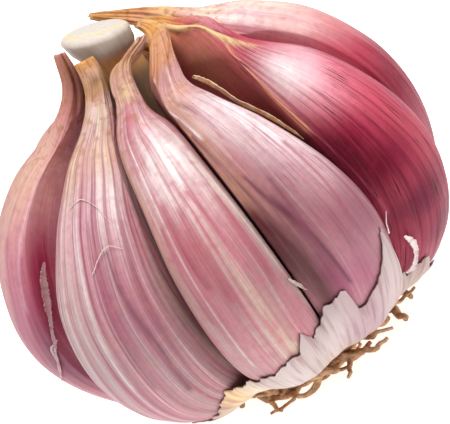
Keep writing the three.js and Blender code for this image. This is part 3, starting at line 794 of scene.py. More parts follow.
# %% The fourth skin: flecked
SKINS["clove_04"] = dict(
    style="flecked",
    base="#C08C90",
    painted_foot_shade=0.26,
    dabs=[
        # The white shoulder, partly a painted highlight where the light above falls.
        ("#FAECEE", 22, 6.6, 46, 0.95, 1.0),
        ("#FFECEE", 36, 5.7, 34, 0.8, 1.0),
        ("#EBC4C8", 30, 5.15, 20, 0.4, 0.75),
        ("#C8929C", 2, 5.3, 14, 0.5, 0.7),
        ("#96646C", -24, 5.1, 14, 0.8, 0.9),
        ("#8A4C54", -34, 4.6, 8, 0.7, 0.8),
        ("#C0969A", -46, 4.9, 6, 0.8, 0.7),
        ("#A45A6A", 10, 4.4, 40, 0.5, 0.9),
        ("#9C5268", 30, 4.1, 26, 0.4, 0.8),
        ("#A8406E", -32, 3.7, 16, 0.4, 0.95),
        ("#B4587E", -8, 3.5, 24, 0.4, 0.85),
        ("#CFAEA6", -50, 5.5, 8, 0.6, 0.7),
        # Painted shade: a near-black patch on the left flank, for the shade of the groove beside the third
        # clove.
        ("#4A0E10", -58, 4.6, 22, 0.9, 1.0),
        ("#965E52", -36, 5.5, 8, 0.6, 0.85),
        ("#A05C48", -76, 6.6, 14, 1.0, 0.95),
        ("#B4705C", -58, 7.2, 16, 0.7, 0.9),
        # Painted shade: darker on the right of the neck, standing in for the shaded hollow beside it.
        ("#A0605A", 54, 7.8, 16, 0.5, 0.8),
        # Brown and dark flanks, partly their own colour and partly painted shade of the grooves.
        ("#8E4A3E", -100, 7.0, 24, 1.2, 0.97),
        ("#702A34", -84, 4.9, 14, 1.0, 0.97),
        ("#55241F", -90, 4.0, 18, 1.0, 0.97),
        ("#42191A", -130, 5.5, 26, 3.0, 0.97),
        ("#6E2A2E", 92, 5.4, 20, 2.0, 0.9),
        ("#DBA592", -6, 7.6, 50, 0.35, 0.85),
        ("#CC8852", 0, 8.6, 400, 0.35, 0.9),
        ("#A05C44", -60, 8.2, 24, 0.5, 0.8),
        ("#E0A552", 0, 9.6, 400, 0.75, 0.97),
        ("#F2CE84", 20, 9.7, 26, 0.6, 0.9),
    ],
    strokes=[
        ("#B4826A", 15, 1.0, (-40, 7.4), (-45, 6.5), (-50, 5.7), (-50, 5.3)),
        # Painted shade: a dark band down the left flank, for the shade of the groove.
        ("#581418", 14, 1.0, (-58, 5.1), (-50, 4.6), (-44, 3.9), (-42, 3.2)),
        ("#6A2A40", 2.2, 0.9, (-34, 5.6), (-27, 4.7), (-20, 3.5)),
        ("#7A4048", 3.0, 0.8, (-50, 6.6), (-46, 5.6), (-40, 4.6)),
        # The next three pale strokes lie on raised creases: rolled edges, their near-white crests partly
        # painted highlight.
        ("#FCEFEC", 2.4, 0.95, (-52, 7.5), (-46, 7.1), (-42, 6.5)),
        ("#F6DDD2", 2.2, 0.7, (-70, 8.3), (-58, 8.0), (-52, 7.6)),
        ("#F3D3C6", 2.2, 0.6, (-26, 8.3), (-22, 7.9), (-26, 7.4)),
        ("#A8485C", 2.0, 0.7, (26, 5.6), (24, 4.9), (20, 4.4)),
        ("#A0485C", 2.0, 0.7, (42, 5.2), (40, 4.4), (36, 3.9)),
        ("#9C5066", 2.0, 0.6, (4, 5.4), (2, 4.6), (-2, 4.0)),
        # A dark line in a shallow crease, partly painted shade in the crease.
        ("#8A3E54", 2.4, 0.7, (-22, 5.4), (-26, 4.6), (-28, 3.9)),
        ("#C0607A", 1.4, 0.6, (34, 6.3), (34, 5.6), (32, 5.0)),
        ("#BC5A76", 1.3, 0.6, (52, 6.0), (54, 5.2), (50, 4.6)),
        ("#C46880", 1.4, 0.5, (16, 6.2), (16, 5.5), (13, 4.9)),
        ("#EBD8DC", 1.4, 0.35, (56, 4.6), (48, 4.2), (52, 3.8), (40, 3.6)),
        ("#7E3E30", 4, 0.8, (30, 9.4), (10, 8.8), (-14, 8.5)),
    ],
    creases=[
        (0.30, 7, (-52, 7.5), (-46, 7.1), (-42, 6.5)),
        (0.28, 6, (-72, 8.3), (-58, 8.0), (-50, 7.6)),
        (-0.30, 7, (-66, 7.9), (-56, 7.4), (-52, 6.8)),
        (0.22, 6, (-26, 8.4), (-20, 7.9), (-26, 7.3)),
        (-0.20, 6, (-36, 8.2), (-34, 7.6), (-28, 7.0)),
        (-0.12, 6, (-22, 5.4), (-26, 4.6), (-28, 3.9)),
        (0.30, 10, (60, 9.8), (30, 9.2), (0, 8.7)),
    ],
    shiny=[(-54, 7.8, 30, 0.8, 0.9)],
)
print("marks on clove 4:", len(SKINS["clove_04"]["dabs"]) + len(SKINS["clove_04"]["strokes"]))

# %% [markdown]
# ### The fifth skin: crimson
# Almost white at the shoulder, partly as a painted highlight, then crimson and wine towards the foot, and
# dark on the left flank, partly as painted shade. A golden edge of the outer skin is rolled back along its
# neck.

# %% The fifth skin: crimson
SKINS["clove_05"] = dict(
    style="dark",
    base="#CC5064",
    painted_foot_shade=0.12,
    dabs=[
        # The near-white shoulder, partly a painted highlight where the light above falls.
        ("#FFF4F4", -30, 6.15, 46, 0.55, 1.0),
        ("#F6B8C4", 24, 6.2, 34, 0.4, 0.85),
        ("#F28EA2", -8, 5.6, 56, 0.26, 0.85),
        ("#FFCCD4", -14, 5.9, 32, 0.3, 0.9),
        ("#E87A8C", 20, 5.5, 40, 0.45, 0.85),
        ("#A01C40", -54, 4.95, 28, 0.35, 0.9),
        ("#C8485E", 14, 5.0, 30, 0.5, 0.85),
        ("#740828", -48, 4.4, 46, 0.45, 1.0),
        ("#560618", -76, 4.75, 22, 0.75, 1.0),
        ("#C8607C", 38, 5.0, 14, 0.8, 0.6),
        ("#5C1830", -30, 3.6, 60, 0.4, 0.9),
        ("#6C3444", 0, 2.9, 70, 0.5, 0.9),
        ("#B47E88", 0, 2.1, 80, 0.5, 0.9),
        # The left flank, dark and brown, partly its own colour and partly painted shade of the groove.
        ("#560E22", -100, 4.8, 12, 1.3, 0.95),
        ("#9E4644", -100, 6.0, 14, 0.7, 0.9),
        ("#BA7462", -112, 7.6, 30, 1.2, 1.0),
        ("#94484C", -140, 8.6, 24, 0.8, 0.8),
        ("#D88A94", -20, 7.9, 50, 0.5, 0.9),
        ("#E8B8B4", 20, 8.2, 30, 0.4, 0.6),
        ("#E2AE66", 0, 9.6, 400, 0.85, 0.98),
    ],
    strokes=[
        # The golden rolled edge; its pale top is partly a painted highlight.
        ("#F3D69C", 9, 1.0, (-110, 9.6), (-96, 9.0), (-84, 8.4), (-66, 7.8), (-44, 7.35)),
        ("#EDC596", 7, 0.9, (-50, 7.4), (-24, 7.1), (0, 6.95)),
        ("#EDA988", 4.5, 0.95, (-64, 7.3), (-78, 6.9), (-86, 6.3), (-88, 5.4)),
        ("#B4566A", 1.5, 0.7, (-86, 5.4), (-80, 4.9), (-73, 4.3), (-66, 3.7)),
        # Painted shade in a sunken crease.
        ("#9C4A56", 4, 0.8, (-60, 8.5), (-20, 8.15), (24, 7.7)),
        ("#A65662", 3, 0.7, (-30, 8.8), (6, 8.5), (40, 8.0)),
        # Painted shade in a sunken crease.
        ("#7E2A34", 4, 0.8, (-40, 7.7), (-10, 7.45), (20, 7.3)),
    ],
    creases=[
        (0.35, 9, (-112, 9.6), (-96, 9.0), (-84, 8.4), (-66, 7.8), (-44, 7.35), (-16, 7.05)),
        (-0.35, 9, (-60, 8.5), (-20, 8.15), (24, 7.7)),
        (0.22, 9, (-40, 8.8), (6, 8.35), (40, 7.9)),
        (-0.25, 8, (-40, 7.75), (-10, 7.45), (20, 7.3)),
        (0.20, 5, (-66, 7.3), (-80, 6.8), (-86, 6.2), (-88, 5.4)),
    ],
    shiny=[(-10, 6.2, 60, 1.0, 0.45)],
)
print("marks on clove 5:", len(SKINS["clove_05"]["dabs"]) + len(SKINS["clove_05"]["strokes"]))

# %% [markdown]
# ### The sixth skin: wine under cream
# Cream above, then a sharp change to crimson and wine on its left.

# %% The sixth skin: wine under cream
SKINS["clove_06"] = dict(
    style="plain",
    base="#CC6E7A",
    painted_foot_shade=0.16,
    dabs=[
        ("#F3E2D2", -5, 6.9, 44, 1.2, 1.0),
        ("#F8E2E0", -50, 7.3, 26, 0.7, 0.97),
        ("#F4CCC6", -44, 6.3, 24, 0.5, 0.85),
        ("#F4A8A6", -26, 5.6, 16, 0.4, 0.8),
        ("#CC4A60", -64, 5.6, 14, 0.4, 0.85),
        ("#CC3A58", -40, 5.2, 28, 0.5, 0.97),
        ("#E08C8C", -14, 5.6, 14, 0.5, 0.8),
        ("#8A0A2E", -38, 4.6, 44, 0.75, 1.0),
        ("#9C2C46", 10, 4.4, 36, 0.7, 0.85),
        ("#7C3048", 0, 3.0, 90, 0.9, 0.8),
        ("#F3DEC4", -30, 8.0, 60, 0.5, 0.9),
        ("#EAC492", 0, 8.8, 400, 0.35, 0.95),
        ("#E2B270", 0, 9.8, 400, 0.8, 0.97),
        ("#C88C54", -60, 9.3, 30, 0.3, 0.7),
    ],
    strokes=[
        # Two darker lines: painted shade of creases in the skin; the first also sinks as a crease.
        ("#B45E66", 4, 0.7, (-84, 8.6), (-80, 7.8), (-78, 7.0)),
        ("#C2686E", 3, 0.6, (-70, 8.2), (-72, 7.4), (-66, 6.6)),
    ],
    creases=[(-0.25, 7, (-84, 8.6), (-80, 7.8), (-78, 7.0)), (0.2, 10, (-60, 9.8), (-50, 9.0), (-40, 8.2))],
)
print("marks on clove 6:", len(SKINS["clove_06"]["dabs"]) + len(SKINS["clove_06"]["strokes"]))

# %% [markdown]
# ### Skins at the back
# The five cloves at the back repeat the others' colouring, each with stripes of its own.

# %% Skins at the back
for hidden, shown in {
    "clove_07": "clove_05",
    "clove_08": "clove_06",
    "clove_09": "clove_03",
    "clove_10": "clove_02",
    "clove_11": "clove_01",
}.items():
    SKINS[hidden] = dict(SKINS[shown])
print("painted skins:", len(SKINS))

# %% [markdown]
# ## Clove skin
# The skin is cellulose with a waxy cuticle: satin, a little translucent, with fibres that run from neck to
# foot. Its stripes are stretched noise on the UV map. The noise is narrow across the clove and long along it,
# at three scales: bands of about 3 mm, veins of about 0.7 mm and hairlines of 0.3 mm. Each is laid over the
# painted tone as a stain.
#
# Hairlines are really about 0.1 mm and would not show at this size, so they are drawn three times as wide.

# %% The styles of stripes
# A style has ribs (degrees from one to the next, colour and strength on the crests, the same in the valleys),
# stains (degrees across, stations along, where the stain starts and is full in the noise, its colour and its
# strength), and a mottle's colour and strength.
STYLES = {
    "plain": dict(
        ribs=(13.0, "#EEDAD6", 0.14, "#B97A80", 0.20),
        stains=[
            (22.0, 9.0, 0.46, 0.66, "#D092A0", 0.30),
            (5.0, 7.0, 0.50, 0.68, "#B9748A", 0.30),
            (1.9, 3.0, 0.54, 0.72, "#A86070", 0.35),
        ],
        mottle=("#B86C74", 0.28),
    ),
    "ribbed": dict(
        ribs=(12.0, "#F6ECEA", 0.34, "#94465C", 0.62),
        stains=[
            (18.0, 5.0, 0.46, 0.62, "#CE909A", 0.45),
            (4.2, 4.0, 0.50, 0.64, "#B2647A", 0.50),
            (1.7, 2.4, 0.54, 0.68, "#98405A", 0.50),
        ],
        mottle=("#B88078", 0.30),
    ),
    "banded": dict(
        ribs=(15.5, "#F4E6DC", 0.20, "#B0606E", 0.25),
        stains=[
            (14.0, 2.0, 0.48, 0.60, "#C07A84", 0.50),
            (4.6, 2.6, 0.52, 0.68, "#B4606E", 0.40),
            (1.7, 1.6, 0.56, 0.72, "#A0485E", 0.45),
        ],
        mottle=("#B4606A", 0.32),
    ),
    "flecked": dict(
        ribs=(17.0, "#F2E4E4", 0.12, "#A06E7C", 0.30),
        stains=[
            (17.0, 2.0, 0.48, 0.60, "#BC848A", 0.34),
            (3.6, 1.2, 0.54, 0.66, "#A8506A", 0.36),
            (1.5, 0.6, 0.58, 0.70, "#98405A", 0.55),
        ],
        mottle=("#B4707C", 0.22),
    ),
    "dark": dict(
        ribs=(12.0, "#F2A0A8", 0.04, "#5A1028", 0.40),
        stains=[
            (20.0, 5.0, 0.46, 0.64, "#B23A5A", 0.12),
            (3.4, 2.4, 0.53, 0.66, "#6A0E2C", 0.45),
            (1.4, 0.7, 0.60, 0.68, "#30060F", 0.85),
        ],
        mottle=("#A02850", 0.12),
    ),
}
print("styles of stripes:", ", ".join(STYLES))

# %% [markdown]
# ### Where the marks show
# The stripes are on the back of a clove and fade out on its flanks. They also follow the paint under them: a
# pink vein laid over wine-dark skin would lighten it, so marks fade where the paint is dark. The dark-skinned
# cloves are the other way round, with dark hairlines that fade on their pale shoulders.

# %% Where the marks show
FLANK_FROM, FLANK_TO = 84, 104  # degrees of turn over which the marks fade
DARK_PAINT = (0.02, 0.24)  # the paint's brightness over which marks come in
PALE_PAINT = (0.35, 0.70)  # on a dark skin, the brightness over which they fade
ON_FLANK, ON_DARK, ON_PALE = 0.12, 0.15, 0.3  # the share of a mark that is left there


def stretched_noise(tree, place, wide, long):
    """Noise on the clove's UV map, so many degrees wide and so many stations long."""
    uv = add_node(tree, "ShaderNodeUVMap", uv_map="Skin")
    stretch = (360 / wide, STATIONS / long, 1)
    placed = add_node(tree, "ShaderNodeMapping", {"Vector": uv, "Location": place, "Scale": stretch})
    return add_node(tree, NOISE, {"Vector": placed, "Scale": 1.0, "Detail": 2.0})


def grainy_noise(tree, grain, detail=3.0):
    """Noise with grains of a size in millimetres, the same in every direction."""
    position = add_node(tree, "ShaderNodeTexCoord").outputs["Object"]
    return add_node(tree, NOISE, {"Vector": position, "Scale": 1 / (grain * MM), "Detail": detail})


def where_marks_show(tree, tone, turn, style):
    """1 on the back of the clove, less on its flanks and where the paint takes no marks."""
    painted = add_node(tree, "ShaderNodeRGBToBW", {"Color": tone.outputs["Color"]})
    fade = (*PALE_PAINT, 1.0, ON_PALE) if style == "dark" else (*DARK_PAINT, ON_DARK, 1.0)
    shown = add_node(tree, RAMP, [painted, *fade], interpolation_type="SMOOTHSTEP")
    off_middle = add_node(tree, MATH, [turn], operation="ABSOLUTE")
    edge = [off_middle, FLANK_FROM, FLANK_TO, 1.0, ON_FLANK]
    facing = add_node(tree, RAMP, edge, interpolation_type="SMOOTHSTEP")
    return add_node(tree, MATH, [shown, facing], operation="MULTIPLY")


def lay_over(tree, colour, cover, hex_colour):
    """Lays a colour over another, as far as the cover says."""
    inputs = {MIX_FACTOR: cover, MIX_A: colour, MIX_B: linear(hex_colour)}
    return add_node(tree, MIX, inputs, data_type="RGBA")


print("marks fade between", FLANK_FROM, "and", FLANK_TO, "degrees off the middle of the back")

# %% [markdown]
# ### Stripes, ribs and mottle
# The stripes are laid first, the broad bands under the veins and the hairlines. Ribs are a sine of the turn
# that wanders a little: its crests are painted paler and its valleys darker. A blotchy mottle goes over
# both, and freckles of tan gather towards the neck.

# %% Stripes, ribs and mottle
NECK_FROM, NECK_TO = 7.9, 9.0  # stations over which stripes fade in the dry neck
IN_NECK = 0.25  # the share that is left there
CREST, VALLEY = 0.22, 0.80  # where a rib's pale crest ends and its dark valley starts, of the way down
WANDER = 7  # degrees by which the ribs stray from even spacing
WANDER_WIDTH, WANDER_LENGTH = 26, 12  # over how many degrees and stations they do so
MOTTLE_GRAIN = 1.54
FRECKLE_GRAIN = 0.91
FRECKLE_COLOUR, FRECKLE_STRENGTH = "#A8703C", 0.55
FRECKLES_FROM, FRECKLES_TO = 6.6, 8.0  # stations over which freckles come in


def lay_stripes(tree, colour, striped, seed, style):
    """Lays the stains over the tone. Also gives each stain's cover and the finest one's noise."""
    covers = []
    for k, (wide, long, start, full, hex_colour, strength) in enumerate(STYLES[style]["stains"]):
        noise = stretched_noise(tree, (seed * 3.7 + k, seed * 1.9, seed + k * 5.0), wide, long)
        stain = add_node(tree, RAMP, [noise, start, full, 0.0, strength], interpolation_type="SMOOTHSTEP")
        covers.append(add_node(tree, MATH, [striped, stain], operation="MULTIPLY"))
        colour = lay_over(tree, colour, covers[-1], hex_colour)
    return colour, covers, noise


def lay_ribs(tree, colour, striped, noise, turn, seed, style):
    """Lays dark valleys and pale crests over the stripes, in patches that the noise gives."""
    width, crest_colour, crest_strength, valley_colour, valley_strength = STYLES[style]["ribs"]
    sway = stretched_noise(tree, (seed, 4.0, 2.0), WANDER_WIDTH, WANDER_LENGTH)
    wander = add_node(tree, RAMP, [sway, 0.25, 0.75, -WANDER, WANDER], interpolation_type="SMOOTHSTEP")
    strayed = add_node(tree, MATH, [turn, wander], operation="ADD")
    phase = add_node(tree, MATH, [strayed, math.pi / width], operation="MULTIPLY")
    sine = add_node(tree, MATH, [phase], operation="SINE")
    wave = add_node(tree, MATH, [sine], operation="ABSOLUTE")
    patches = add_node(tree, RAMP, [noise, 0.35, 0.6, 0.3, 1.0], interpolation_type="SMOOTHSTEP")
    patchy = add_node(tree, MATH, [striped, patches], operation="MULTIPLY")
    for band, hex_colour in [
        ((VALLEY, 1.0, 0.0, valley_strength), valley_colour),
        ((0.0, CREST, crest_strength, 0.0), crest_colour),
    ]:
        rib = add_node(tree, RAMP, [wave, *band], interpolation_type="SMOOTHSTEP")
        cover = add_node(tree, MATH, [rib, patchy], operation="MULTIPLY")
        colour = lay_over(tree, colour, cover, hex_colour)
    return colour


def lay_mottle(tree, colour, on_back, station, style):
    """Lays a blotchy mottle over the back, and tan freckles towards the neck."""
    mottle_colour, mottle_strength = STYLES[style]["mottle"]
    blotch = [grainy_noise(tree, MOTTLE_GRAIN, 4.0), 0.48, 0.68, 0.0, mottle_strength]
    mottle = add_node(tree, RAMP, blotch, interpolation_type="SMOOTHSTEP")
    cover = add_node(tree, MATH, [on_back, mottle], operation="MULTIPLY")
    colour = lay_over(tree, colour, cover, mottle_colour)
    near_neck = [station, FRECKLES_FROM, FRECKLES_TO, 0.0, 1.0]
    in_neck = add_node(tree, RAMP, near_neck, interpolation_type="SMOOTHSTEP")
    spots = [grainy_noise(tree, FRECKLE_GRAIN), 0.52, 0.66, 0.0, FRECKLE_STRENGTH]
    freckles = add_node(tree, RAMP, spots, interpolation_type="SMOOTHSTEP")
    cover = add_node(tree, MATH, [in_neck, freckles], operation="MULTIPLY")
    return lay_over(tree, colour, cover, FRECKLE_COLOUR)


print("mottles of", MOTTLE_GRAIN, "mm and freckles of", FRECKLE_GRAIN, "mm")

# %% [markdown]
# ### Fibres, gloss and the finished skin
# Fine fibres and a speckle make the skin a little lighter and darker and give it relief, so that a highlight
# breaks up along the fibres. The dark skins get less gloss than the pale ones, which keeps their wine colour
# deep. Damp or rubbed spots, which the paint's alpha marks, are smoother.

# %% The finished clove skin
SPECKLE_GRAIN = 0.625
FIBRE_WIDTH, FIBRE_LENGTH = 0.7, 0.9  # degrees and stations
BUMP_DEPTH = 0.07
SHINE = 0.22  # how much smoother the shiniest spots are
DULL, WAXY = 0.12, 0.38  # specular levels


def clove_skin(name, seed, style, specular):
    """Dry clove skin: satin, striped lengthwise, tan and fibrous at the neck."""
    material, tree = new_material(name)
    tone = add_node(tree, "ShaderNodeVertexColor", layer_name="Tone")
    uv = add_node(tree, "ShaderNodeUVMap", uv_map="Skin")
    place = add_node(tree, "ShaderNodeSeparateXYZ", {"Vector": uv})
    centred = add_node(tree, MATH, [place.outputs["X"], 0.5], operation="SUBTRACT")
    turn = add_node(tree, MATH, [centred, 360], operation="MULTIPLY")
    station = add_node(tree, MATH, [place.outputs["Y"], STATIONS], operation="MULTIPLY")
    on_back = where_marks_show(tree, tone, turn, style)
    below_neck = [station, NECK_FROM, NECK_TO, 1.0, IN_NECK]
    fleshy = add_node(tree, RAMP, below_neck, interpolation_type="SMOOTHSTEP")
    striped = add_node(tree, MATH, [on_back, fleshy], operation="MULTIPLY")
    colour, covers, noise = lay_stripes(tree, tone, striped, seed, style)
    colour = lay_ribs(tree, colour, striped, noise, turn, seed, style)
    colour = lay_mottle(tree, colour, on_back, station, style)

    speckle = grainy_noise(tree, SPECKLE_GRAIN)
    fibres = stretched_noise(tree, (seed, 8.0, 1.0), FIBRE_WIDTH, FIBRE_LENGTH)
    dust = add_node(tree, RAMP, [speckle, 0.3, 0.7, 0.94, 1.05], interpolation_type="SMOOTHSTEP")
    strands = add_node(tree, RAMP, [fibres, 0.3, 0.7, 0.88, 1.08], interpolation_type="SMOOTHSTEP")
    lighten = add_node(tree, MATH, [dust, strands], operation="MULTIPLY")
    speckled = add_node(tree, "ShaderNodeVectorMath", {0: colour, "Scale": lighten}, operation="SCALE")
    veins = add_node(tree, MATH, [covers[1], covers[2]], operation="ADD")
    half_fibres = add_node(tree, MATH, [fibres, 0.5], operation="MULTIPLY")
    lines = add_node(tree, MATH, [veins, half_fibres], operation="ADD")
    height = add_node(tree, MATH, [speckle, 0.6, lines], operation="MULTIPLY_ADD")
    relief_inputs = {"Height": height, "Strength": 0.5, "Distance": BUMP_DEPTH * MM}
    bump = add_node(tree, "ShaderNodeBump", relief_inputs, invert=True)
    matt = add_node(tree, RAMP, [speckle, 0.3, 0.7, 0.46, 0.60], interpolation_type="SMOOTHSTEP")
    shine = add_node(tree, MATH, [tone.outputs["Alpha"], SHINE], operation="MULTIPLY")
    rough = add_node(tree, MATH, [matt, shine], operation="SUBTRACT")
    shader = add_node(
        tree,
        "ShaderNodeBsdfPrincipled",
        {
            "Base Color": speckled,
            "Roughness": rough,
            "Normal": bump,
            "Specular IOR Level": specular,
            "Subsurface Weight": 0.12,
            "Subsurface Radius": (1.0, 0.5, 0.4),
            "Subsurface Scale": 0.0008,
        },
    )
    add_node(tree, "ShaderNodeOutputMaterial", {"Surface": shader})
    return material


print("hairline fibres:", FIBRE_WIDTH, "degrees wide")

# %% [markdown]
# ## The cloves
# Every clove is now made in the same way: its grid of points between its two walls, a mesh from that, its
# painted tone, and a skin material of its own, because no two are striped alike.

# %% Making the cloves
DARK_SKINNED = ("clove_05", "clove_06", "clove_07")


def clove_grids():
    """The finished grid of every clove, each held between its own wall and the next clove's."""
    grids = {}
    names = list(CLOVES)
    for name, following in zip(names, names[1:] + names[:1]):
        next_wall = CLOVES[following]["wall"]
        if next_wall < CLOVES[name]["wall"]:
            next_wall += 360
        grids[name] = clove_points(name, next_wall)
    return grids


def make_clove(name, seed):
    """Makes one clove with its paint and its skin."""
    points, across, station = grids[name]
    mesh = grid_mesh(name + "_skin", points, across / 360 + 0.5, station / STATIONS)
    paint(mesh, SKINS[name], np.append(across.ravel(), [0, 0]), np.append(station.ravel(), [0, STATIONS]))
    slot, specular = ("clove_skin_dark", DULL) if name in DARK_SKINNED else ("clove_skin", WAXY)
    mesh.materials.append(clove_skin("clove_skin_" + name[-2:], seed, SKINS[name]["style"], specular))
    finish_piece(mesh, name)
    return mesh


grids = clove_grids()
clove_meshes = [make_clove(name, seed) for seed, name in enumerate(CLOVES)]
print("faces on the cloves:", sum(len(mesh.polygons) for mesh in clove_meshes))

# %% [markdown]
# ## The cut stem
# The flower stem ran up the middle of the bulb and dried there. It was trimmed just above the cloves' necks,
# at a slant, which left a pale button: the cut face shows the edges of the old leaf sheaths as a crescent
# seam. The stem is a stack of rings, as the cloves are, with a soft lip and a slightly domed top.

# %% The stem's mesh
# Height and radius, from the root plate up.
STEM_RINGS = [
    (2.0, 5.0),
    (5.0, 3.8),
    (9.0, 3.2),
    (36.0, 3.1),
    (42.0, 3.1),
    (44.8, 3.2),
    (46.0, 3.4),
    (46.9, 3.85),
    (47.8, 4.05),
    (48.5, 4.2),
]
STEM_TOP = 49.3
STEM_STEPS, LIP_STEPS, FACE_STEPS = 60, 8, 29  # rings on the side, round the lip and across the cut face
STEM_SIDES = 96
CUT_SLANT = 18
STEM_LEAN = (-0.6, 0.1)
LEAN_FROM = 36.0
LIP_RADIUS = 0.7
FACE_DOME = 0.25
FACE_EDGE = 0.02  # the innermost ring's radius, as a share of the face's
STEM_ROUGHNESS = 0.05
SEAM_CENTRE = (0.375, 1.25)  # the seam is part of a circle off the middle of the cut face
SEAM_RADIUS = 3.6
SEAM_WIDTH = 0.28
SEAM_DEPTH = 0.16
SEAM_END, SEAM_FADE = 1.5, 2.0  # the seam ends at this y, and fades over so many millimetres before it


def stem_profile():
    """Height and radius of every ring: up the side, over the lip and in across the face."""
    side = curve_through(STEM_RINGS, STEM_STEPS)
    top, widest = side[-1]
    lip = np.linspace(0, math.pi / 2, LIP_STEPS + 1)[1:]
    lip = np.stack([top + LIP_RADIUS * np.sin(lip), widest - LIP_RADIUS * (1 - np.cos(lip))], -1)
    inner = np.linspace(1, FACE_EDGE, FACE_STEPS + 1)[1:]
    face = np.stack([lip[-1, 0] + FACE_DOME * (1 - inner**2), (widest - LIP_RADIUS) * inner], -1)
    return np.vstack([side, lip, face])


def stem_points():
    """The stem's grid, and each point's share of a turn, height, way to the seam and whether on the face."""
    profile = stem_profile()
    height, radius = profile[:, :1], profile[:, 1:]
    angle = np.linspace(0, 2 * math.pi, STEM_SIDES, endpoint=False)[None, :]
    ones = np.ones((len(profile), STEM_SIDES))
    bark = ripple(angle / DEGREE, height / 6, np.random.default_rng(3), 5, 40, 3.0)
    radius = radius + STEM_ROUGHNESS * bark * np.minimum(radius / 3, 1)
    x, y = radius * np.cos(angle), radius * np.sin(angle)
    seam = np.hypot(x - SEAM_CENTRE[0], y - SEAM_CENTRE[1]) - SEAM_RADIUS
    on_face = smooth((height - STEM_TOP + 0.25) / 0.2)
    sink = SEAM_DEPTH * np.exp(-((seam / SEAM_WIDTH) ** 2)) * on_face * smooth((SEAM_END - y) / SEAM_FADE)
    rise = height * ones - sink
    # The cut slants the top: what lies above the side's last ring turns about it.
    t = smooth((height - LEAN_FROM) / (STEM_TOP - LEAN_FROM))
    slant = t * CUT_SLANT * DEGREE
    side_top = profile[STEM_STEPS - 1, 0]
    lift = np.where(height > side_top, rise - side_top, 0)
    slanted_x = x * np.cos(slant) + lift * np.sin(slant) + t * STEM_LEAN[0]
    slanted_z = rise - lift - x * np.sin(slant) + lift * np.cos(slant)
    points = np.stack([slanted_x, y + t * STEM_LEAN[1], slanted_z], -1)
    return points, angle / (2 * math.pi) * ones, rise, seam, on_face * ones


print("rings on the stem:", len(stem_profile()))

# %% [markdown]
# Dry stem tissue is matt and fibrous. The button is nearly white, and the seam in its face is straw coloured.
# Below the button the side turns golden, and then brown low down among the necks, partly as painted shade.

# %% The dry stem's material
# Painted shade: the stem's foot, deep among the cloves, is painted darker brown.
SHADED_STEM_FOOT = "#8E7256"
# The colours above it: colour, the height in millimetres where it starts, and over how many it comes in.
STEM_TONES = [("#EFB878", 42.0, 2.5), ("#D2C5B8", 45.4, 1.6)]
CUT_FACE = "#D8CEC5"
SEAM_COLOUR, SEAM_STRENGTH, SEAM_STAIN = "#E3CF9E", 0.8, 1.6  # the stain is so many times the seam's width
STEM_FIBRE = (0.556, 0.556, 3.85)


def dry_stem():
    """Dry stem tissue: matt, with fibres that run up the stem."""
    material, tree = new_material("dry_cut_stem")
    tone = add_node(tree, "ShaderNodeVertexColor", layer_name="Tone")
    position = add_node(tree, "ShaderNodeTexCoord").outputs["Object"]
    fine = [1 / (size * MM) for size in STEM_FIBRE]
    stretch = add_node(tree, "ShaderNodeMapping", {"Vector": position, "Scale": fine})
    fibre = add_node(tree, NOISE, {"Vector": stretch, "Scale": 1.0, "Detail": 3.0})
    shade = add_node(tree, RAMP, [fibre, 0.3, 0.7, 0.9, 1.05])
    colour = add_node(tree, "ShaderNodeVectorMath", {0: tone, "Scale": shade}, operation="SCALE")
    bump = add_node(tree, "ShaderNodeBump", {"Height": fibre, "Strength": 0.4, "Distance": 0.12 * MM})
    rough = add_node(tree, RAMP, [fibre, 0.0, 1.0, 0.5, 0.75])
    shader = add_node(
        tree,
        "ShaderNodeBsdfPrincipled",
        {
            "Base Color": colour,
            "Roughness": rough,
            "Normal": bump,
            "Subsurface Weight": 0.15,
            "Subsurface Radius": (1.0, 0.8, 0.6),
            "Subsurface Scale": 0.001,
        },
    )
    add_node(tree, "ShaderNodeOutputMaterial", {"Surface": shader})
    return material


def make_stem():
    points, around, height, seam, on_face = stem_points()
    mesh = grid_mesh("dry_stem", points, around, height / STEM_TOP)
    tall = np.append(height.ravel(), [height.min(), height.max()])
    face = np.append(on_face.ravel(), [0, 1])
    on_seam = np.append(np.exp(-((seam.ravel() / (SEAM_STAIN * SEAM_WIDTH)) ** 2)), [0, 0]) * face
    colour = np.tile(linear(SHADED_STEM_FOOT), (len(tall), 1))
    for hex_colour, start, over in STEM_TONES:
        cover_with(colour, hex_colour, smooth((tall - start) / over))
    cover_with(colour, CUT_FACE, face)
    cover_with(colour, SEAM_COLOUR, on_seam * SEAM_STRENGTH)
    store_tone(mesh, colour)
    mesh.materials.append(dry_stem())
    finish_piece(mesh, "stem_with_root_plate")
    return mesh


print("faces on the stem:", len(make_stem().polygons))

# %% [markdown]
# ## Root plate
# The plate is the bulb's real stem, squashed flat: a corky disc that carries the cloves on top and the roots
# at its rim. It is turned from a profile, and its surface is roughened with seeded ripples, except on the
# trimmed spot underneath that the bulb stands on.

# %% Cork
CORK_PATCH, CORK_GRAIN = 1.43, 0.3125


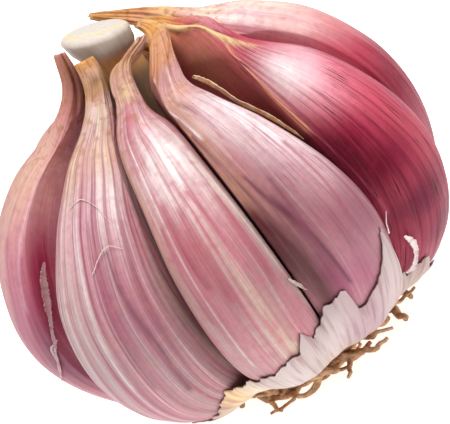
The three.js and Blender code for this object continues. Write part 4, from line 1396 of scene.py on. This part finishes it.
def corky(name, dark, light):
    """Dry plant tissue, such as cork, root bark or an old skin: matt, with pale scuffs."""
    material, tree = new_material(name)
    patches = grainy_noise(tree, CORK_PATCH, 4.0)
    grain = grainy_noise(tree, CORK_GRAIN)
    both = add_node(tree, MATH, [grain, 0.35, patches], operation="MULTIPLY_ADD")
    scuffed = add_node(tree, RAMP, [both, 0.5, 0.85], interpolation_type="SMOOTHSTEP")
    bump = add_node(tree, "ShaderNodeBump", {"Height": both, "Strength": 0.6, "Distance": 0.2 * MM})
    rough = add_node(tree, RAMP, [both, 0.0, 1.0, 0.6, 0.9])
    colour = lay_over(tree, linear(dark), scuffed, light)
    shader = add_node(
        tree, "ShaderNodeBsdfPrincipled", {"Base Color": colour, "Roughness": rough, "Normal": bump}
    )
    add_node(tree, "ShaderNodeOutputMaterial", {"Surface": shader})
    return material


print("cork with patches of", CORK_PATCH, "mm")

# %% [markdown]
# The profile is given from the middle of the flat spot, out over the rim and in again on top.

# %% The root plate
# Radius and height.
PLATE_PROFILE = [
    (0.05, 0.0),
    (5.6, 0.0),
    (7.6, 0.9),
    (9.6, 2.2),
    (10.2, 3.2),
    (9.6, 4.3),
    (8.2, 4.9),
    (3.0, 5.2),
]
PLATE_SIDES = 160
PLATE_RINGS = 70
PLATE_ROUGHNESS = 0.16
SMOOTH_SPOT, SPOT_FADE = 5.8, 1.5  # radius of the smooth spot, and how soon the plate is rough beyond it


def make_plate():
    generator = np.random.default_rng(8)
    profile = np.array(PLATE_PROFILE)
    place = np.linspace(0, len(profile) - 1, PLATE_RINGS)
    radius = np.interp(place, range(len(profile)), profile[:, 0])[:, None]
    height = np.interp(place, range(len(profile)), profile[:, 1])[:, None]
    angle = np.linspace(0, 360, PLATE_SIDES, endpoint=False)[None, :]
    lumps = ripple(angle, place[:, None], generator, 6, 16, 2.5)
    lumps += ripple(angle, place[:, None], generator, 6, 7, 1.2)
    radius = radius + PLATE_ROUGHNESS * lumps * smooth((radius - SMOOTH_SPOT) / SPOT_FADE)
    level = outwards(angle) * radius[..., None]
    points = np.concatenate([level, np.broadcast_to(height, radius.shape)[..., None]], -1)
    around = np.broadcast_to(angle / 360, radius.shape)
    along = np.broadcast_to(place[:, None] / (len(profile) - 1), radius.shape)
    mesh = grid_mesh("root_plate", points, around, along)
    mesh.materials.append(corky("corky_root_plate", "#7A5A3C", "#C7A67A"))
    finish_piece(mesh, "stem_with_root_plate")
    return mesh


print("faces on the root plate:", len(make_plate().polygons))

# %% [markdown]
# ## Roots
# The roots were trimmed and have dried into short brown curls round the plate's rim. They repeat by a rule,
# so Geometry Nodes make them: one straight line is copied to every root's place, each copy is given its own
# random bend, length, height and thickness, and a formula then bends its points into an arc. A little noise
# makes it crooked, and a tapering tube is drawn along it.
#
# On the real bulb some strands are hair thin. Those are left out, because they would not show.

# %% The sizes of the roots
ROOT_STEPS = 18
ROOT_SIDES = 8
ROOT_CEILING = 2.9  # the wrapper's lower rim is just above
ROOT_SIZES = {
    "Roots": 230,
    "Seed": 5,
    "Start radius": 8.6 * MM,
    "Shortest": 3.6 * MM,
    "Longest": 8.2 * MM,
    "Lowest": 0.6 * MM,
    "Highest": 2.3 * MM,
    "Tightest bend": 5.5,
    "Thinnest": 0.26 * MM,
    "Thickest": 0.62 * MM,
    "Crookedness": 2.2 * MM,
}
KINKS = 420.0  # to the metre, so that a root kinks every 2.4 mm or so
# The notes that each root carries from the first half of the tree to the second.
ROOT_NOTES = ("azimuth", "bend", "length", "height", "tilt", "thickness")
print("roots:", ROOT_SIZES["Roots"])

# %% [markdown]
# ### The strands
# A named input for each size comes first. Then each root draws its own sizes, and these are stored on the
# straight copies as attributes, so that they are still known once the copies are real points.

# %% Straight strands, each with its own sizes
def named_inputs(tree):
    """Gives the tree an input for each of the roots' sizes."""
    tree.interface.new_socket(name="Geometry", in_out="INPUT", socket_type="NodeSocketGeometry")
    for name, size in ROOT_SIZES.items():
        kind = "NodeSocketInt" if isinstance(size, int) else "NodeSocketFloat"
        tree.interface.new_socket(name=name, in_out="INPUT", socket_type=kind)
    tree.interface.new_socket(name="Geometry", in_out="OUTPUT", socket_type="NodeSocketGeometry")
    return tree.nodes.new("NodeGroupInput").outputs


def own_sizes(tree, given):
    """A random number for each of a root's sizes."""
    ranges = [
        ("jitter", -0.7, 0.7),
        ("side", 0.0, 1.0),
        ("bend", 0.7, given["Tightest bend"]),
        ("length", given["Shortest"], given["Longest"]),
        ("height", given["Lowest"], given["Highest"]),
        ("tilt", -0.45, 0.35),
        ("thickness", given["Thinnest"], given["Thickest"]),
    ]
    own = {}
    for offset, (name, low, high) in enumerate(ranges, 1):
        seed = add_node(tree, MATH, [given["Seed"], offset], operation="ADD")
        # The float inputs of Random Value are its second pair of sockets.
        limits = {2: low, 3: high, "Seed": seed}
        own[name] = add_node(tree, "FunctionNodeRandomValue", limits, data_type="FLOAT")
    index = add_node(tree, "GeometryNodeInputIndex")
    place = add_node(tree, MATH, [index, own["jitter"]], operation="ADD")
    share = add_node(tree, MATH, [place, given["Roots"]], operation="DIVIDE")
    own["azimuth"] = add_node(tree, MATH, [share, 2 * math.pi], operation="MULTIPLY")
    left = add_node(tree, MATH, [own["side"], 0.5], operation="LESS_THAN")
    side = add_node(tree, MATH, [left, 2.0, -1.0], operation="MULTIPLY_ADD")
    own["bend"] = add_node(tree, MATH, [own["bend"], side], operation="MULTIPLY")
    return own


def straight_strands(tree, given):
    """A straight strand for every root, which carries the root's own sizes."""
    line = add_node(tree, "GeometryNodeCurvePrimitiveLine", {"End": (1, 0, 0)})
    steps = add_node(tree, "GeometryNodeResampleCurve", {"Curve": line, "Count": ROOT_STEPS})
    places = add_node(tree, "GeometryNodePoints", {"Count": given["Roots"]})
    copies = add_node(tree, "GeometryNodeInstanceOnPoints", {"Points": places, "Instance": steps})
    own = own_sizes(tree, given)
    for name in ROOT_NOTES:
        note = {"Geometry": copies, "Name": name, "Value": own[name]}
        copies = add_node(
            tree, "GeometryNodeStoreNamedAttribute", note, data_type="FLOAT", domain="INSTANCE"
        )
    return add_node(tree, "GeometryNodeRealizeInstances", {"Geometry": copies})


print("notes on each root:", ", ".join(ROOT_NOTES))

# %% [markdown]
# ### Bending them
# A strand of one length and one bend is part of a circle with the radius length / bend. Where it has turned
# by an angle, it lies radius * sin(angle) ahead and radius * (1 - cos(angle)) aside. It is then turned to its
# own azimuth, shaken by the noise, and kept between the floor and the wrapper's rim.

# %% Bent strands and tubes
FLOOR_LIFT = 0.1  # how far a root stays off the floor
TAPER = 0.45  # how much thinner a root's tip is


def bent_places(tree, given, note, factor):
    """Where each point of a strand comes to lie, and the noise that shook it."""
    turned = add_node(tree, MATH, [note["bend"], factor], operation="MULTIPLY")
    swing = add_node(tree, MATH, [note["length"], note["bend"]], operation="DIVIDE")
    sine = add_node(tree, MATH, [turned], operation="SINE")
    run = add_node(tree, MATH, [swing, sine], operation="MULTIPLY")
    forward = add_node(tree, MATH, [given["Start radius"], run], operation="ADD")
    cosine = add_node(tree, MATH, [turned], operation="COSINE")
    versine = add_node(tree, MATH, [1.0, cosine], operation="SUBTRACT")
    aside = add_node(tree, MATH, [swing, versine], operation="MULTIPLY")
    slope = add_node(tree, MATH, [aside, note["tilt"]], operation="MULTIPLY")
    rise = add_node(tree, MATH, [note["height"], slope], operation="ADD")
    level = add_node(tree, "ShaderNodeCombineXYZ", [forward, aside, rise])
    turn = {"Vector": level, "Angle": note["azimuth"]}
    placed = add_node(tree, "ShaderNodeVectorRotate", turn, rotation_type="Z_AXIS")
    noise = add_node(tree, NOISE, {"Vector": placed, "Scale": KINKS, "Detail": 1.0})
    grey = [noise.outputs["Color"], (0.5, 0.5, 0.5)]
    centred = add_node(tree, "ShaderNodeVectorMath", grey, operation="SUBTRACT")
    shake = {0: centred, "Scale": given["Crookedness"]}
    crooked = add_node(tree, "ShaderNodeVectorMath", shake, operation="SCALE")
    return add_node(tree, "ShaderNodeVectorMath", [placed, crooked], operation="ADD"), noise


def bent_strands(tree, strands, places, note):
    """The strands with their points moved, kept off the floor and under the wrapper."""
    apart = add_node(tree, "ShaderNodeSeparateXYZ", {"Vector": places})
    lowest = add_node(tree, MATH, [note["thickness"], FLOOR_LIFT * MM], operation="ADD")
    above_floor = add_node(tree, MATH, [apart.outputs["Z"], lowest], operation="MAXIMUM")
    under_skin = add_node(tree, MATH, [above_floor, ROOT_CEILING * MM], operation="MINIMUM")
    settled = add_node(tree, "ShaderNodeCombineXYZ", [apart.outputs["X"], apart.outputs["Y"], under_skin])
    return add_node(tree, "GeometryNodeSetPosition", {"Geometry": strands, "Position": settled})


def tapering_tubes(tree, strands, noise, note, factor):
    """A lumpy tube along each strand, thinner towards its tip."""
    squared = add_node(tree, MATH, [factor, 2.0], operation="POWER")
    thinned = add_node(tree, MATH, [TAPER, squared], operation="MULTIPLY")
    taper = add_node(tree, MATH, [1.0, thinned], operation="SUBTRACT")
    lumpy = add_node(tree, MATH, [noise, 0.7, 0.65], operation="MULTIPLY_ADD")
    thick = add_node(tree, MATH, [note["thickness"], taper], operation="MULTIPLY")
    radius = add_node(tree, MATH, [thick, lumpy], operation="MULTIPLY")
    circle = add_node(tree, "GeometryNodeCurvePrimitiveCircle", {"Resolution": ROOT_SIDES, "Radius": 1.0})
    ends = {"Curve": strands, "Profile Curve": circle, "Scale": radius, "Fill Caps": True}
    return add_node(tree, "GeometryNodeCurveToMesh", ends)


def roots_tree(material):
    tree = bpy.data.node_groups.new("dry_root_curls", "GeometryNodeTree")
    given = named_inputs(tree)
    strands = straight_strands(tree, given)
    note = {
        name: add_node(tree, "GeometryNodeInputNamedAttribute", {"Name": name}, data_type="FLOAT")
        for name in ROOT_NOTES
    }
    factor = add_node(tree, "GeometryNodeSplineParameter")
    places, noise = bent_places(tree, given, note, factor)
    strands = bent_strands(tree, strands, places, note)
    tubes = tapering_tubes(tree, strands, noise, note, factor)
    real = add_node(tree, "GeometryNodeRealizeInstances", {"Geometry": tubes})
    finished = add_node(tree, "GeometryNodeSetMaterial", {"Geometry": real, "Material": material})
    add_node(tree, "NodeGroupOutput", {"Geometry": finished})
    return tree


print("a root is", ROOT_STEPS, "steps long and has", ROOT_SIDES, "sides")

# %% [markdown]
# ### Growing them
# The tree runs once, as a modifier on an empty mesh. Its result is kept as a plain mesh, without the notes,
# and the modifier is removed, so that nothing is left to be worked out at render time.

# %% Growing the roots
def grow(name, tree, sizes):
    """Runs a tree once on an empty mesh and keeps the result as a plain mesh."""
    start = bpy.data.objects.new(name + "_start", bpy.data.meshes.new(name + "_start"))
    bpy.context.scene.collection.objects.link(start)
    modifier = start.modifiers.new(name, "NODES")
    modifier.node_group = tree
    for item in tree.interface.items_tree:
        if item.in_out == "INPUT" and item.name in sizes:
            modifier[item.identifier] = sizes[item.name]
    graph = bpy.context.evaluated_depsgraph_get()
    mesh = bpy.data.meshes.new_from_object(start.evaluated_get(graph))
    start.modifiers.remove(modifier)
    bpy.data.objects.remove(start)
    for note in [attribute.name for attribute in mesh.attributes if attribute.name in ROOT_NOTES]:
        mesh.attributes.remove(mesh.attributes[note])
    mesh.name = name
    mesh.shade_smooth()
    return mesh


root_mesh = grow("dry_roots", roots_tree(corky("dry_root_bark", "#A07048", "#E2BC94")), ROOT_SIZES)
finish_piece(root_mesh, "stem_with_root_plate")
print("faces on the roots:", len(root_mesh.polygons))

# %% [markdown]
# ## The torn wrapper
# The bulb's outer skin is a sheet as thin as tissue. Its top has been torn off, and the rest hugs the heels
# of the cloves: it is stretched from one clove to the next and bridges the grooves, as a drum skin would.
#
# Cloth simulation could shrink a sheet on to the cloves. A surer way is to feel for the cloves: rays are cast
# inwards from all round, and the distances they report are rolled over with a large ball, which cannot
# follow them down into a groove.

# %% Feeling for the cloves
SKIN_CENTRE = 22  # height on the axis from which the skin's distances are measured
SKIN_FOOT, LAST_BAND = 60, -8  # degrees below the level through SKIN_CENTRE
SKIN_COLUMNS = 720
SKIN_BANDS = 46
STRETCH_REACH = 27  # degrees on either side that hold the skin off a groove
STRETCH_BEND = 22  # half the ball's curvature, in millimetres per radian squared
FEELER_LENGTH = 60


def feel_cloves():
    """The distance from SKIN_CENTRE to the outside of the cloves, on every band and column."""
    vertices, faces = [], []
    for mesh in clove_meshes:
        offset = len(vertices)
        vertices += [v.co / MM for v in mesh.vertices]
        faces += [[offset + k for k in polygon.vertices] for polygon in mesh.polygons]
    tree = BVHTree.FromPolygons(vertices, faces)
    distances = np.zeros((SKIN_BANDS, SKIN_COLUMNS))
    centre = Vector((0, 0, SKIN_CENTRE))
    for i, below in enumerate(np.linspace(SKIN_FOOT, LAST_BAND, SKIN_BANDS) * DEGREE):
        for j, azimuth in enumerate(np.linspace(0, 360, SKIN_COLUMNS, endpoint=False)):
            x, y = outwards(np.array(azimuth)) * math.cos(below)
            away = Vector((x, y, -math.sin(below)))
            hit = tree.ray_cast(centre + away * FEELER_LENGTH, -away)
            distances[i, j] = FEELER_LENGTH - hit[3] if hit[0] else 0
    return distances


def stretch(distances):
    """Rolls a large ball round the outside of every band, and fills what it cannot reach."""
    step = 360 / SKIN_COLUMNS
    reach = int(STRETCH_REACH / step)
    offsets = range(-reach, reach + 1)
    drop = [STRETCH_BEND * (k * step * DEGREE) ** 2 for k in offsets]
    raised = np.max([np.roll(distances, -k, axis=1) - d for k, d in zip(offsets, drop)], axis=0)
    return np.min([np.roll(raised, -k, axis=1) + d for k, d in zip(offsets, drop)], axis=0)


clove_distances = feel_cloves()
skin_distances = stretch(clove_distances)
print("the skin lies", skin_distances.min().round(1), "to", skin_distances.max().round(1), "mm out")

# %% [markdown]
# ### Torn above, frayed below
# The torn edge is a list of azimuths and heights, close to the solid's, and a finer seeded jaggedness is
# added to it. The lower rim frays out among the roots, and is given in degrees below the level through the
# skin's centre.

# %% The wrapper's edges
TORN_EDGE = [
    (-98, 5.4), (-90, 6.0), (-84, 5.4), (-76, 6.2), (-71, 5.6), (-64, 5.2), (-58, 5.8), (-50, 5.4),
    (-44, 6.4), (-37, 8.2), (-33, 9.4), (-29, 8.8), (-23, 9.6), (-19, 10.0), (-11, 11.2), (-5, 11.6),
    (-2, 13.8), (0, 11.8), (4, 12.2), (7, 14.2), (10, 14.3), (13, 14.8), (14, 11.6), (17, 12.0),
    (21, 12.6), (25, 14.4), (30, 17.2), (33, 9.6), (37, 8.0), (40, 9.0), (43, 8.6), (47, 6.4),
    (55, 5.6), (64, 6.0), (70, 5.4), (75, 5.8), (84, 5.4), (95, 6.6), (104, 5.8), (112, 8.0),
    (121, 7.4), (133, 6.8), (144, 9.4), (152, 7.6), (163, 8.2), (171, 10.2), (178, 7.4), (190, 7.8),
    (201, 9.6), (209, 7.2), (222, 8.4), (233, 7.2), (243, 9.0), (252, 6.8),
]
LOWER_RIM = [
    (-100, 58), (-50, 59), (-34, 58), (-22, 56), (-8, 53), (4, 50), (18, 49), (30, 50), (42, 53), (55, 57),
    (90, 58), (140, 56), (190, 58), (220, 56),
]
# Jaggedness, coarse to fine: the number of teeth all round, and how far they reach.
TEAR_TEETH = [(150, 0.9), (330, 0.7), (710, 0.5)]  # in shares of TEAR_JITTER
TEAR_JITTER = 0.35
RIM_TEETH = [(34, 2.2), (110, 1.2), (300, 0.7)]  # in degrees


def around_bulb(azimuths, knots):
    """Values at the azimuths, from a list of knots that runs round the bulb."""
    return np.interp(azimuths, *np.array(knots).T, period=360)


def jagged(azimuths, generator, teeth):
    """Seeded zigzags of several sizes, added up."""
    total = 0
    for count, reach in teeth:
        places = np.linspace(0, 360, count, endpoint=False)
        total = total + np.interp(azimuths, places, generator.uniform(-1, 1, count), period=360) * reach
    return total


print("knots on the torn edge:", len(TORN_EDGE))

# %% [markdown]
# ### The sheet between its edges
# Between rim and tear the skin lies on the stretched distances, with fine wrinkles. Where it ends at the tear
# nothing holds it off the cloves any more, so it sinks towards them, and the dry edge lifts and curls a
# little. It has two sides and closed rims, as a real sheet has.

# %% The wrapper's mesh
SKIN_GAP = 0.10
SKIN_THICKNESS = 0.16
SKIN_ROWS = 42
ROW_SPACING = 0.85  # below 1, the rows are closer together towards the tear
CURL_HEIGHT, CURL_LENGTH = 0.14, 1.6
FLATTEST_CURL = 0.35  # the least curl, as a share of CURL_HEIGHT
CURL_WAVES, CURL_DRIFT = 11, 5  # waves of curl round the bulb, and how often their spacing changes
WRINKLE_DEPTH, DEEPEST_WRINKLE = 0.10, 0.2
DEEPEST_HUG, HUG_LENGTH = 0.9, 2.5  # how far the torn edge may sink towards a clove, and over what length
FLOOR_GAP = 0.15
SHARP_FROM = 50  # degrees: thin edges bent more than this are shaded sharp


def wrapper_rows():
    """Azimuths, rows from rim to tear, each row's degrees below the level, the tear's, and the wrinkles."""
    azimuths = np.linspace(0, 360, SKIN_COLUMNS, endpoint=False)
    generator = np.random.default_rng(21)
    tear = around_bulb(azimuths, TORN_EDGE) + TEAR_JITTER * jagged(azimuths, generator, TEAR_TEETH)
    bands = np.linspace(SKIN_FOOT, LAST_BAND, SKIN_BANDS)
    height_of_band = SKIN_CENTRE - skin_distances * np.sin(bands * DEGREE)[:, None]
    top = np.array([np.interp(t, height_of_band[:, j], bands) for j, t in enumerate(tear)])
    rows = (np.linspace(0, 1, SKIN_ROWS) ** ROW_SPACING)[:, None]
    rim = around_bulb(azimuths, LOWER_RIM) + jagged(azimuths, generator, RIM_TEETH)
    wrinkles = WRINKLE_DEPTH * ripple(azimuths[None, :], rows * 4, generator, 6, 8, 3.0)
    return azimuths, rows, rim + (top - rim) * rows, top, np.maximum(wrinkles, -DEEPEST_WRINKLE)


def wrapper_grid():
    """The skin's inner side: its distance out and degrees below, with the azimuths and rows."""
    azimuths, rows, below, top, wrinkles = wrapper_rows()
    place = (SKIN_FOOT - below) / (SKIN_FOOT - LAST_BAND) * (SKIN_BANDS - 1)
    low = np.clip(place.astype(int), 0, SKIN_BANDS - 2)
    columns = np.arange(SKIN_COLUMNS)[None, :]
    share = place - low
    distance = skin_distances[low, columns] * (1 - share) + skin_distances[low + 1, columns] * share
    clove_below, clove_above = clove_distances[low, columns], clove_distances[low + 1, columns]
    to_clove = distance - clove_below * (1 - share) - clove_above * share
    to_tear = (below - top) * DEGREE * distance
    distance = distance - np.clip(to_clove, 0, DEEPEST_HUG) * np.exp(-to_tear / HUG_LENGTH)
    around = azimuths * DEGREE
    waves = np.abs(np.sin(around * CURL_WAVES + np.sin(around * CURL_DRIFT)))
    lift = CURL_HEIGHT * (FLATTEST_CURL + (1 - FLATTEST_CURL) * waves)
    curl = lift * np.exp(-to_tear / CURL_LENGTH)
    return distance + SKIN_GAP + curl + wrinkles, below, azimuths, rows


def on_skin(distance, below, azimuths):
    """Points at distances from SKIN_CENTRE, so many degrees below the level."""
    level = outwards(azimuths)[None, ...] * (distance * np.cos(below * DEGREE))[..., None]
    return np.concatenate([level, (SKIN_CENTRE - distance * np.sin(below * DEGREE))[..., None]], -1)


def wrapper_mesh():
    """The sheet with its two sides, its turn and station for the paint, smooth but sharp at its rims."""
    distance, below, azimuths, rows = wrapper_grid()
    outer = on_skin(distance + SKIN_THICKNESS, below, azimuths)
    inner = on_skin(distance, below, azimuths)
    points = np.concatenate([inner, outer[::-1]]).transpose(1, 0, 2)
    points[..., 2] = np.maximum(points[..., 2], FLOOR_GAP)
    count = points.shape[1]
    index = np.arange(SKIN_COLUMNS * count).reshape(SKIN_COLUMNS, count)
    right, up = np.roll(index, -1, axis=0), np.roll(index, -1, axis=1)
    quads = np.stack([index, right, np.roll(up, -1, axis=0), up], -1).reshape(-1, 4)
    mesh = bpy.data.meshes.new("torn_wrapper_skin")
    mesh.from_pydata((points.reshape(-1, 3) * MM).tolist(), [], quads.tolist())
    around = np.repeat(azimuths / 360, count)
    along = np.tile(np.concatenate([rows, rows[::-1]])[:, 0], SKIN_COLUMNS)
    map_skin(mesh, around, along)
    mesh.shade_smooth()
    mesh.set_sharp_from_angle(angle=SHARP_FROM * DEGREE)
    face_outwards(mesh)
    return mesh, around * 360, along * STATIONS


print("rows from rim to tear:", SKIN_ROWS)

# %% [markdown]
# ### The wrapper's paper
# Wrapper skin is dead cell walls: off-white, papery and matt, thin enough for light and for the pink of the
# cloves to glow through, with fine veins from the roots upwards. It is painted as the cloves are, with the
# azimuth as the turn and ten stations from rim to tear.

# %% The wrapper's material
VEIN_WIDTH, VEINS_ALONG, VEIN_STRENGTH = 1.7, 1.4, 0.75  # degrees; changes from rim to tear; at most
VEIN_COLOUR = "#CDA9B2"
CRUMPLE_SIZE = 1.11
PAPER = dict(
    base="#A89490",
    dabs=[
        ("#BBA78E", 180, 0, 400, 2.4, 0.6),
        ("#F2C888", -33, 6.5, 5, 6.0, 0.95),
        ("#F2E6CC", -25, 5.0, 5, 5.0, 0.9),
        ("#E0CCA8", -40, 5.0, 12, 5.0, 0.8),
        ("#C8AC84", 2, 2.5, 6, 3.0, 0.7),
        ("#CDC2BE", -12, 5.5, 10, 5.0, 0.8),
        ("#CFC2C0", 6, 6.5, 7, 3.0, 0.7),
        ("#AE8C96", 16, 6.0, 7, 4.0, 0.7),
        ("#C2B0B0", 27, 6.0, 6, 5.0, 0.7),
        ("#C9B494", 42, 4.0, 8, 4.0, 0.6),
    ],
)


def wrapper_paper():
    """Papery outer skin: matt and thin, with veins from the roots upwards."""
    material, tree = new_material("papery_wrapper_skin")
    tone = add_node(tree, "ShaderNodeVertexColor", layer_name="Tone")
    uv = add_node(tree, "ShaderNodeUVMap", uv_map="Skin")
    stretch = {"Vector": uv, "Scale": (360 / VEIN_WIDTH, VEINS_ALONG, 1)}
    place = add_node(tree, "ShaderNodeMapping", stretch)
    veins = add_node(tree, NOISE, {"Vector": place, "Scale": 1.0, "Detail": 3.0})
    shown = [veins, 0.45, 0.7, 0.0, VEIN_STRENGTH]
    cover = add_node(tree, RAMP, shown, interpolation_type="SMOOTHSTEP")
    layers = {MIX_FACTOR: cover, MIX_A: tone, MIX_B: linear(VEIN_COLOUR)}
    colour = add_node(tree, MIX, layers, data_type="RGBA", blend_type="MULTIPLY")
    crumple = grainy_noise(tree, CRUMPLE_SIZE)
    height = add_node(tree, MATH, [crumple, veins], operation="ADD")
    bump = add_node(tree, "ShaderNodeBump", {"Height": height, "Strength": 0.45, "Distance": 0.1 * MM})
    rough = add_node(tree, RAMP, [crumple, 0.0, 1.0, 0.42, 0.66])
    shader = add_node(
        tree,
        "ShaderNodeBsdfPrincipled",
        {
            "Base Color": colour,
            "Roughness": rough,
            "Normal": bump,
            "Subsurface Weight": 0.2,
            "Subsurface Radius": (1.0, 0.7, 0.7),
            "Subsurface Scale": 0.0006,
        },
    )
    add_node(tree, "ShaderNodeOutputMaterial", {"Surface": shader})
    return material


paper = wrapper_paper()
wrapper, paper_turn, paper_station = wrapper_mesh()
paint(wrapper, PAPER, paper_turn, paper_station)
wrapper.materials.append(paper)
finish_piece(wrapper, "torn_wrapper")
print("faces on the wrapper:", len(wrapper.polygons))

# %% [markdown]
# ### Shreds left clinging
# Where the wrapper was pulled off, small shreds of it still cling to the cloves. Each is a narrow strip that
# follows a line of turns and stations on its clove, with a width and a lift off the skin at every point.

# %% Clinging shreds
SHRED_THICKNESS = 0.07
SHRED_STEPS = 60
SHRED_ACROSS = np.array([-1.0, -0.4, 0.4, 1.0])
SHRED_FRAY = 0.35  # how much of its width a shred's frayed sides come and go
SHRED_TURN = 12  # a shred's length takes so many degrees of the wrapper's veins
# The clove, the colour, how far the sides curl up in millimetres, and the line: turn, station, width, lift.
SHREDS = [
    (
        "clove_01", "#B88A8C", 0.20,
        (70, 5.75, 0.3, 0.8), (66, 5.5, 0.8, 0.4), (64, 5.2, 0.9, 0.3), (58, 4.8, 0.3, 0.2),
    ),
    (
        "clove_01", "#B8929A", 0.10,
        (61, 5.0, 0.15, 0.3), (54, 4.7, 0.4, 0.2), (44, 4.3, 0.3, 0.2), (28, 3.9, 0.15, 0.2),
    ),
    (
        "clove_01", "#BC9CA0", 0.10,
        (56, 4.6, 0.1, 0.3), (46, 4.5, 0.3, 0.2), (38, 4.1, 0.2, 0.2), (12, 3.7, 0.1, 0.2),
    ),
    (
        "clove_02", "#E4CCC8", 0.02,
        (18, 5.5, 0.06, 0.1), (28, 5.66, 0.09, 0.2), (40, 5.76, 0.08, 0.2), (54, 5.65, 0.05, 0.1),
    ),
    (
        "clove_02", "#E0C8C2", 0.02,
        (-10, 6.5, 0.05, 0.1), (10, 6.6, 0.07, 0.1), (32, 6.4, 0.07, 0.1), (48, 6.05, 0.05, 0.1),
    ),
    (
        "clove_03", "#CFB8AC", 0.15,
        (60, 4.1, 0.2, 0.2), (64, 3.9, 0.5, 0.4), (67, 3.7, 0.4, 0.7), (70, 3.5, 0.2, 0.4),
    ),
    (
        "clove_04", "#EDE2E0", 0.10,
        (50, 3.55, 0.4, 0.2), (55, 3.68, 0.4, 0.3), (58, 3.74, 0.3, 0.5), (60, 3.84, 0.1, 0.9),
    ),
    (
        "clove_05", "#DCCCCC", 0.30,
        (-60, 3.3, 0.3, 0.9), (-53, 3.1, 0.7, 0.4), (-49, 2.8, 0.5, 0.3), (-52, 2.6, 0.7, 0.5),
        (-57, 2.5, 0.3, 0.3),
    ),
]


def on_clove(name, turn, station):
    """Points and normals on a clove's finished grid, between its rings and sides."""
    points = grids[name][0]
    row = np.clip(station / STATIONS, 0, 1) * (RINGS - 1)
    column = (90 - turn) / 180 * BACK_SIDES
    i, j = row.astype(int), column.astype(int)
    s, t = (row - i)[:, None], (column - j)[:, None]

    def between(values):
        here = values[i, j] * (1 - t) + values[i, j + 1] * t
        above = values[i + 1, j] * (1 - t) + values[i + 1, j + 1] * t
        return here * (1 - s) + above * s

    return between(points), between(grid_normals(points))


def make_shred(number, clove, hex_colour, curl, *line):
    """A thin strip on a clove, in layers under and over, with frayed sides."""
    generator = np.random.default_rng(50 + number)
    turn, station, width, lift = curve_through(line, SHRED_STEPS).T
    middle, normal = on_clove(clove, turn, station)
    side = np.cross(normal, np.gradient(middle, axis=0))
    side /= np.linalg.norm(side, axis=1, keepdims=True)
    rings = []
    for layer, order in ((-1, 1), (1, -1)):
        for across in SHRED_ACROSS[::order]:
            fray = 1 + SHRED_FRAY * generator.uniform(-1, 1, SHRED_STEPS) * abs(across)
            high = SHRED_THICKNESS + lift + curl * across**2 * width + layer * SHRED_THICKNESS / 2
            rings.append(middle + side * (across * width / 2 * fray)[:, None] + normal * high[:, None])
    points = np.stack(rings, 1)
    along = np.broadcast_to(np.linspace(0, 1, SHRED_STEPS)[:, None], points.shape[:2])
    mesh = grid_mesh(f"wrapper_shred_{number}", points, along * SHRED_TURN / 360, along)
    everywhere = np.zeros(len(mesh.vertices))
    paint(mesh, dict(base=hex_colour), everywhere, everywhere)
    mesh.set_sharp_from_angle(angle=SHARP_FROM * DEGREE)
    mesh.materials.append(paper)
    finish_piece(mesh, "torn_wrapper")


for number, shred in enumerate(SHREDS, 1):
    make_shred(number, *shred)
print("shreds:", len(SHREDS))

# %% [markdown]
# ## The slip of skin in the groove
# A strip of a neighbour's skin is left standing in the groove between the fourth and fifth cloves: dry,
# golden and ragged along its upper edge.

# %% The groove skin
SLIP_AZIMUTH = 36.2
SLIP_THICKNESS = 0.26
SLIP_STATIONS = 160
SLIP_ROWS = 8
SLIP_INWARDS = (0.8, 0.6)
# The upper edge: radius, height, and how deep the strip goes into the groove.
SLIP_EDGE = [
    (10.2, 40.2, 0.4),
    (11.5, 39.5, 0.6),
    (13.2, 38.0, 0.7),
    (14.9, 35.7, 0.7),
    (17.3, 33.5, 0.6),
    (19.6, 30.8, 0.5),
    (20.7, 29.1, 0.3),
]
SLIP_RAGGED, SLIP_TEETH = 0.08, 60
SLIP_WAVES = [(0.10, 11), (0.03, 37)]  # millimetres to the side, and radians along its length
SLIP_NARROW, NARROW_FROM, NARROW_OVER = 0.7, 0.35, 0.5  # how much thinner its lower end is, and where
THIN_EDGE = 0.35  # the upper edge's thickness, as a share of the foot's


def slip_points():
    """A ring for every step along the strip: in along one side and out along the other."""
    generator = np.random.default_rng(31)
    edge = curve_through(SLIP_EDGE, SLIP_STATIONS)
    t = np.linspace(0, 1, SLIP_STATIONS)
    teeth = np.interp(t, np.linspace(0, 1, SLIP_TEETH), generator.uniform(-1, 1, SLIP_TEETH))
    ragged = SLIP_RAGGED * teeth * (1 - t) ** 0.5
    wave = sum(high * np.sin(t * turns) for high, turns in SLIP_WAVES)
    taper = 1 - SLIP_NARROW * smooth((t - NARROW_FROM) / NARROW_OVER)
    radius, height, depth = edge.T[..., None]
    rows = np.linspace(0, 1, SLIP_ROWS)
    share = np.concatenate([rows, rows[::-1]])[None, :]
    side = np.repeat([-1, 1], SLIP_ROWS)[None, :]
    inwards = ragged[:, None] * (1 - share) + share * depth
    thickness = SLIP_THICKNESS * (THIN_EDGE + (1 - THIN_EDGE) * share) * taper[:, None]
    level = outwards(np.array(SLIP_AZIMUTH)) * (radius - SLIP_INWARDS[0] * inwards)[..., None]
    aside = side * thickness / 2 + wave[:, None] * (1 - share)
    level = level + sideways(np.array(SLIP_AZIMUTH)) * aside[..., None]
    points = np.concatenate([level, (height - SLIP_INWARDS[1] * inwards)[..., None]], -1)
    return points, np.broadcast_to(t[:, None], thickness.shape), np.broadcast_to(share, thickness.shape)


slip = grid_mesh("groove_skin_slip", *slip_points())
slip.materials.append(corky("golden_dry_skin", "#E2A468", "#FBE2C0"))
finish_piece(slip, "groove_skin")
print("faces on the slip:", len(slip.polygons))
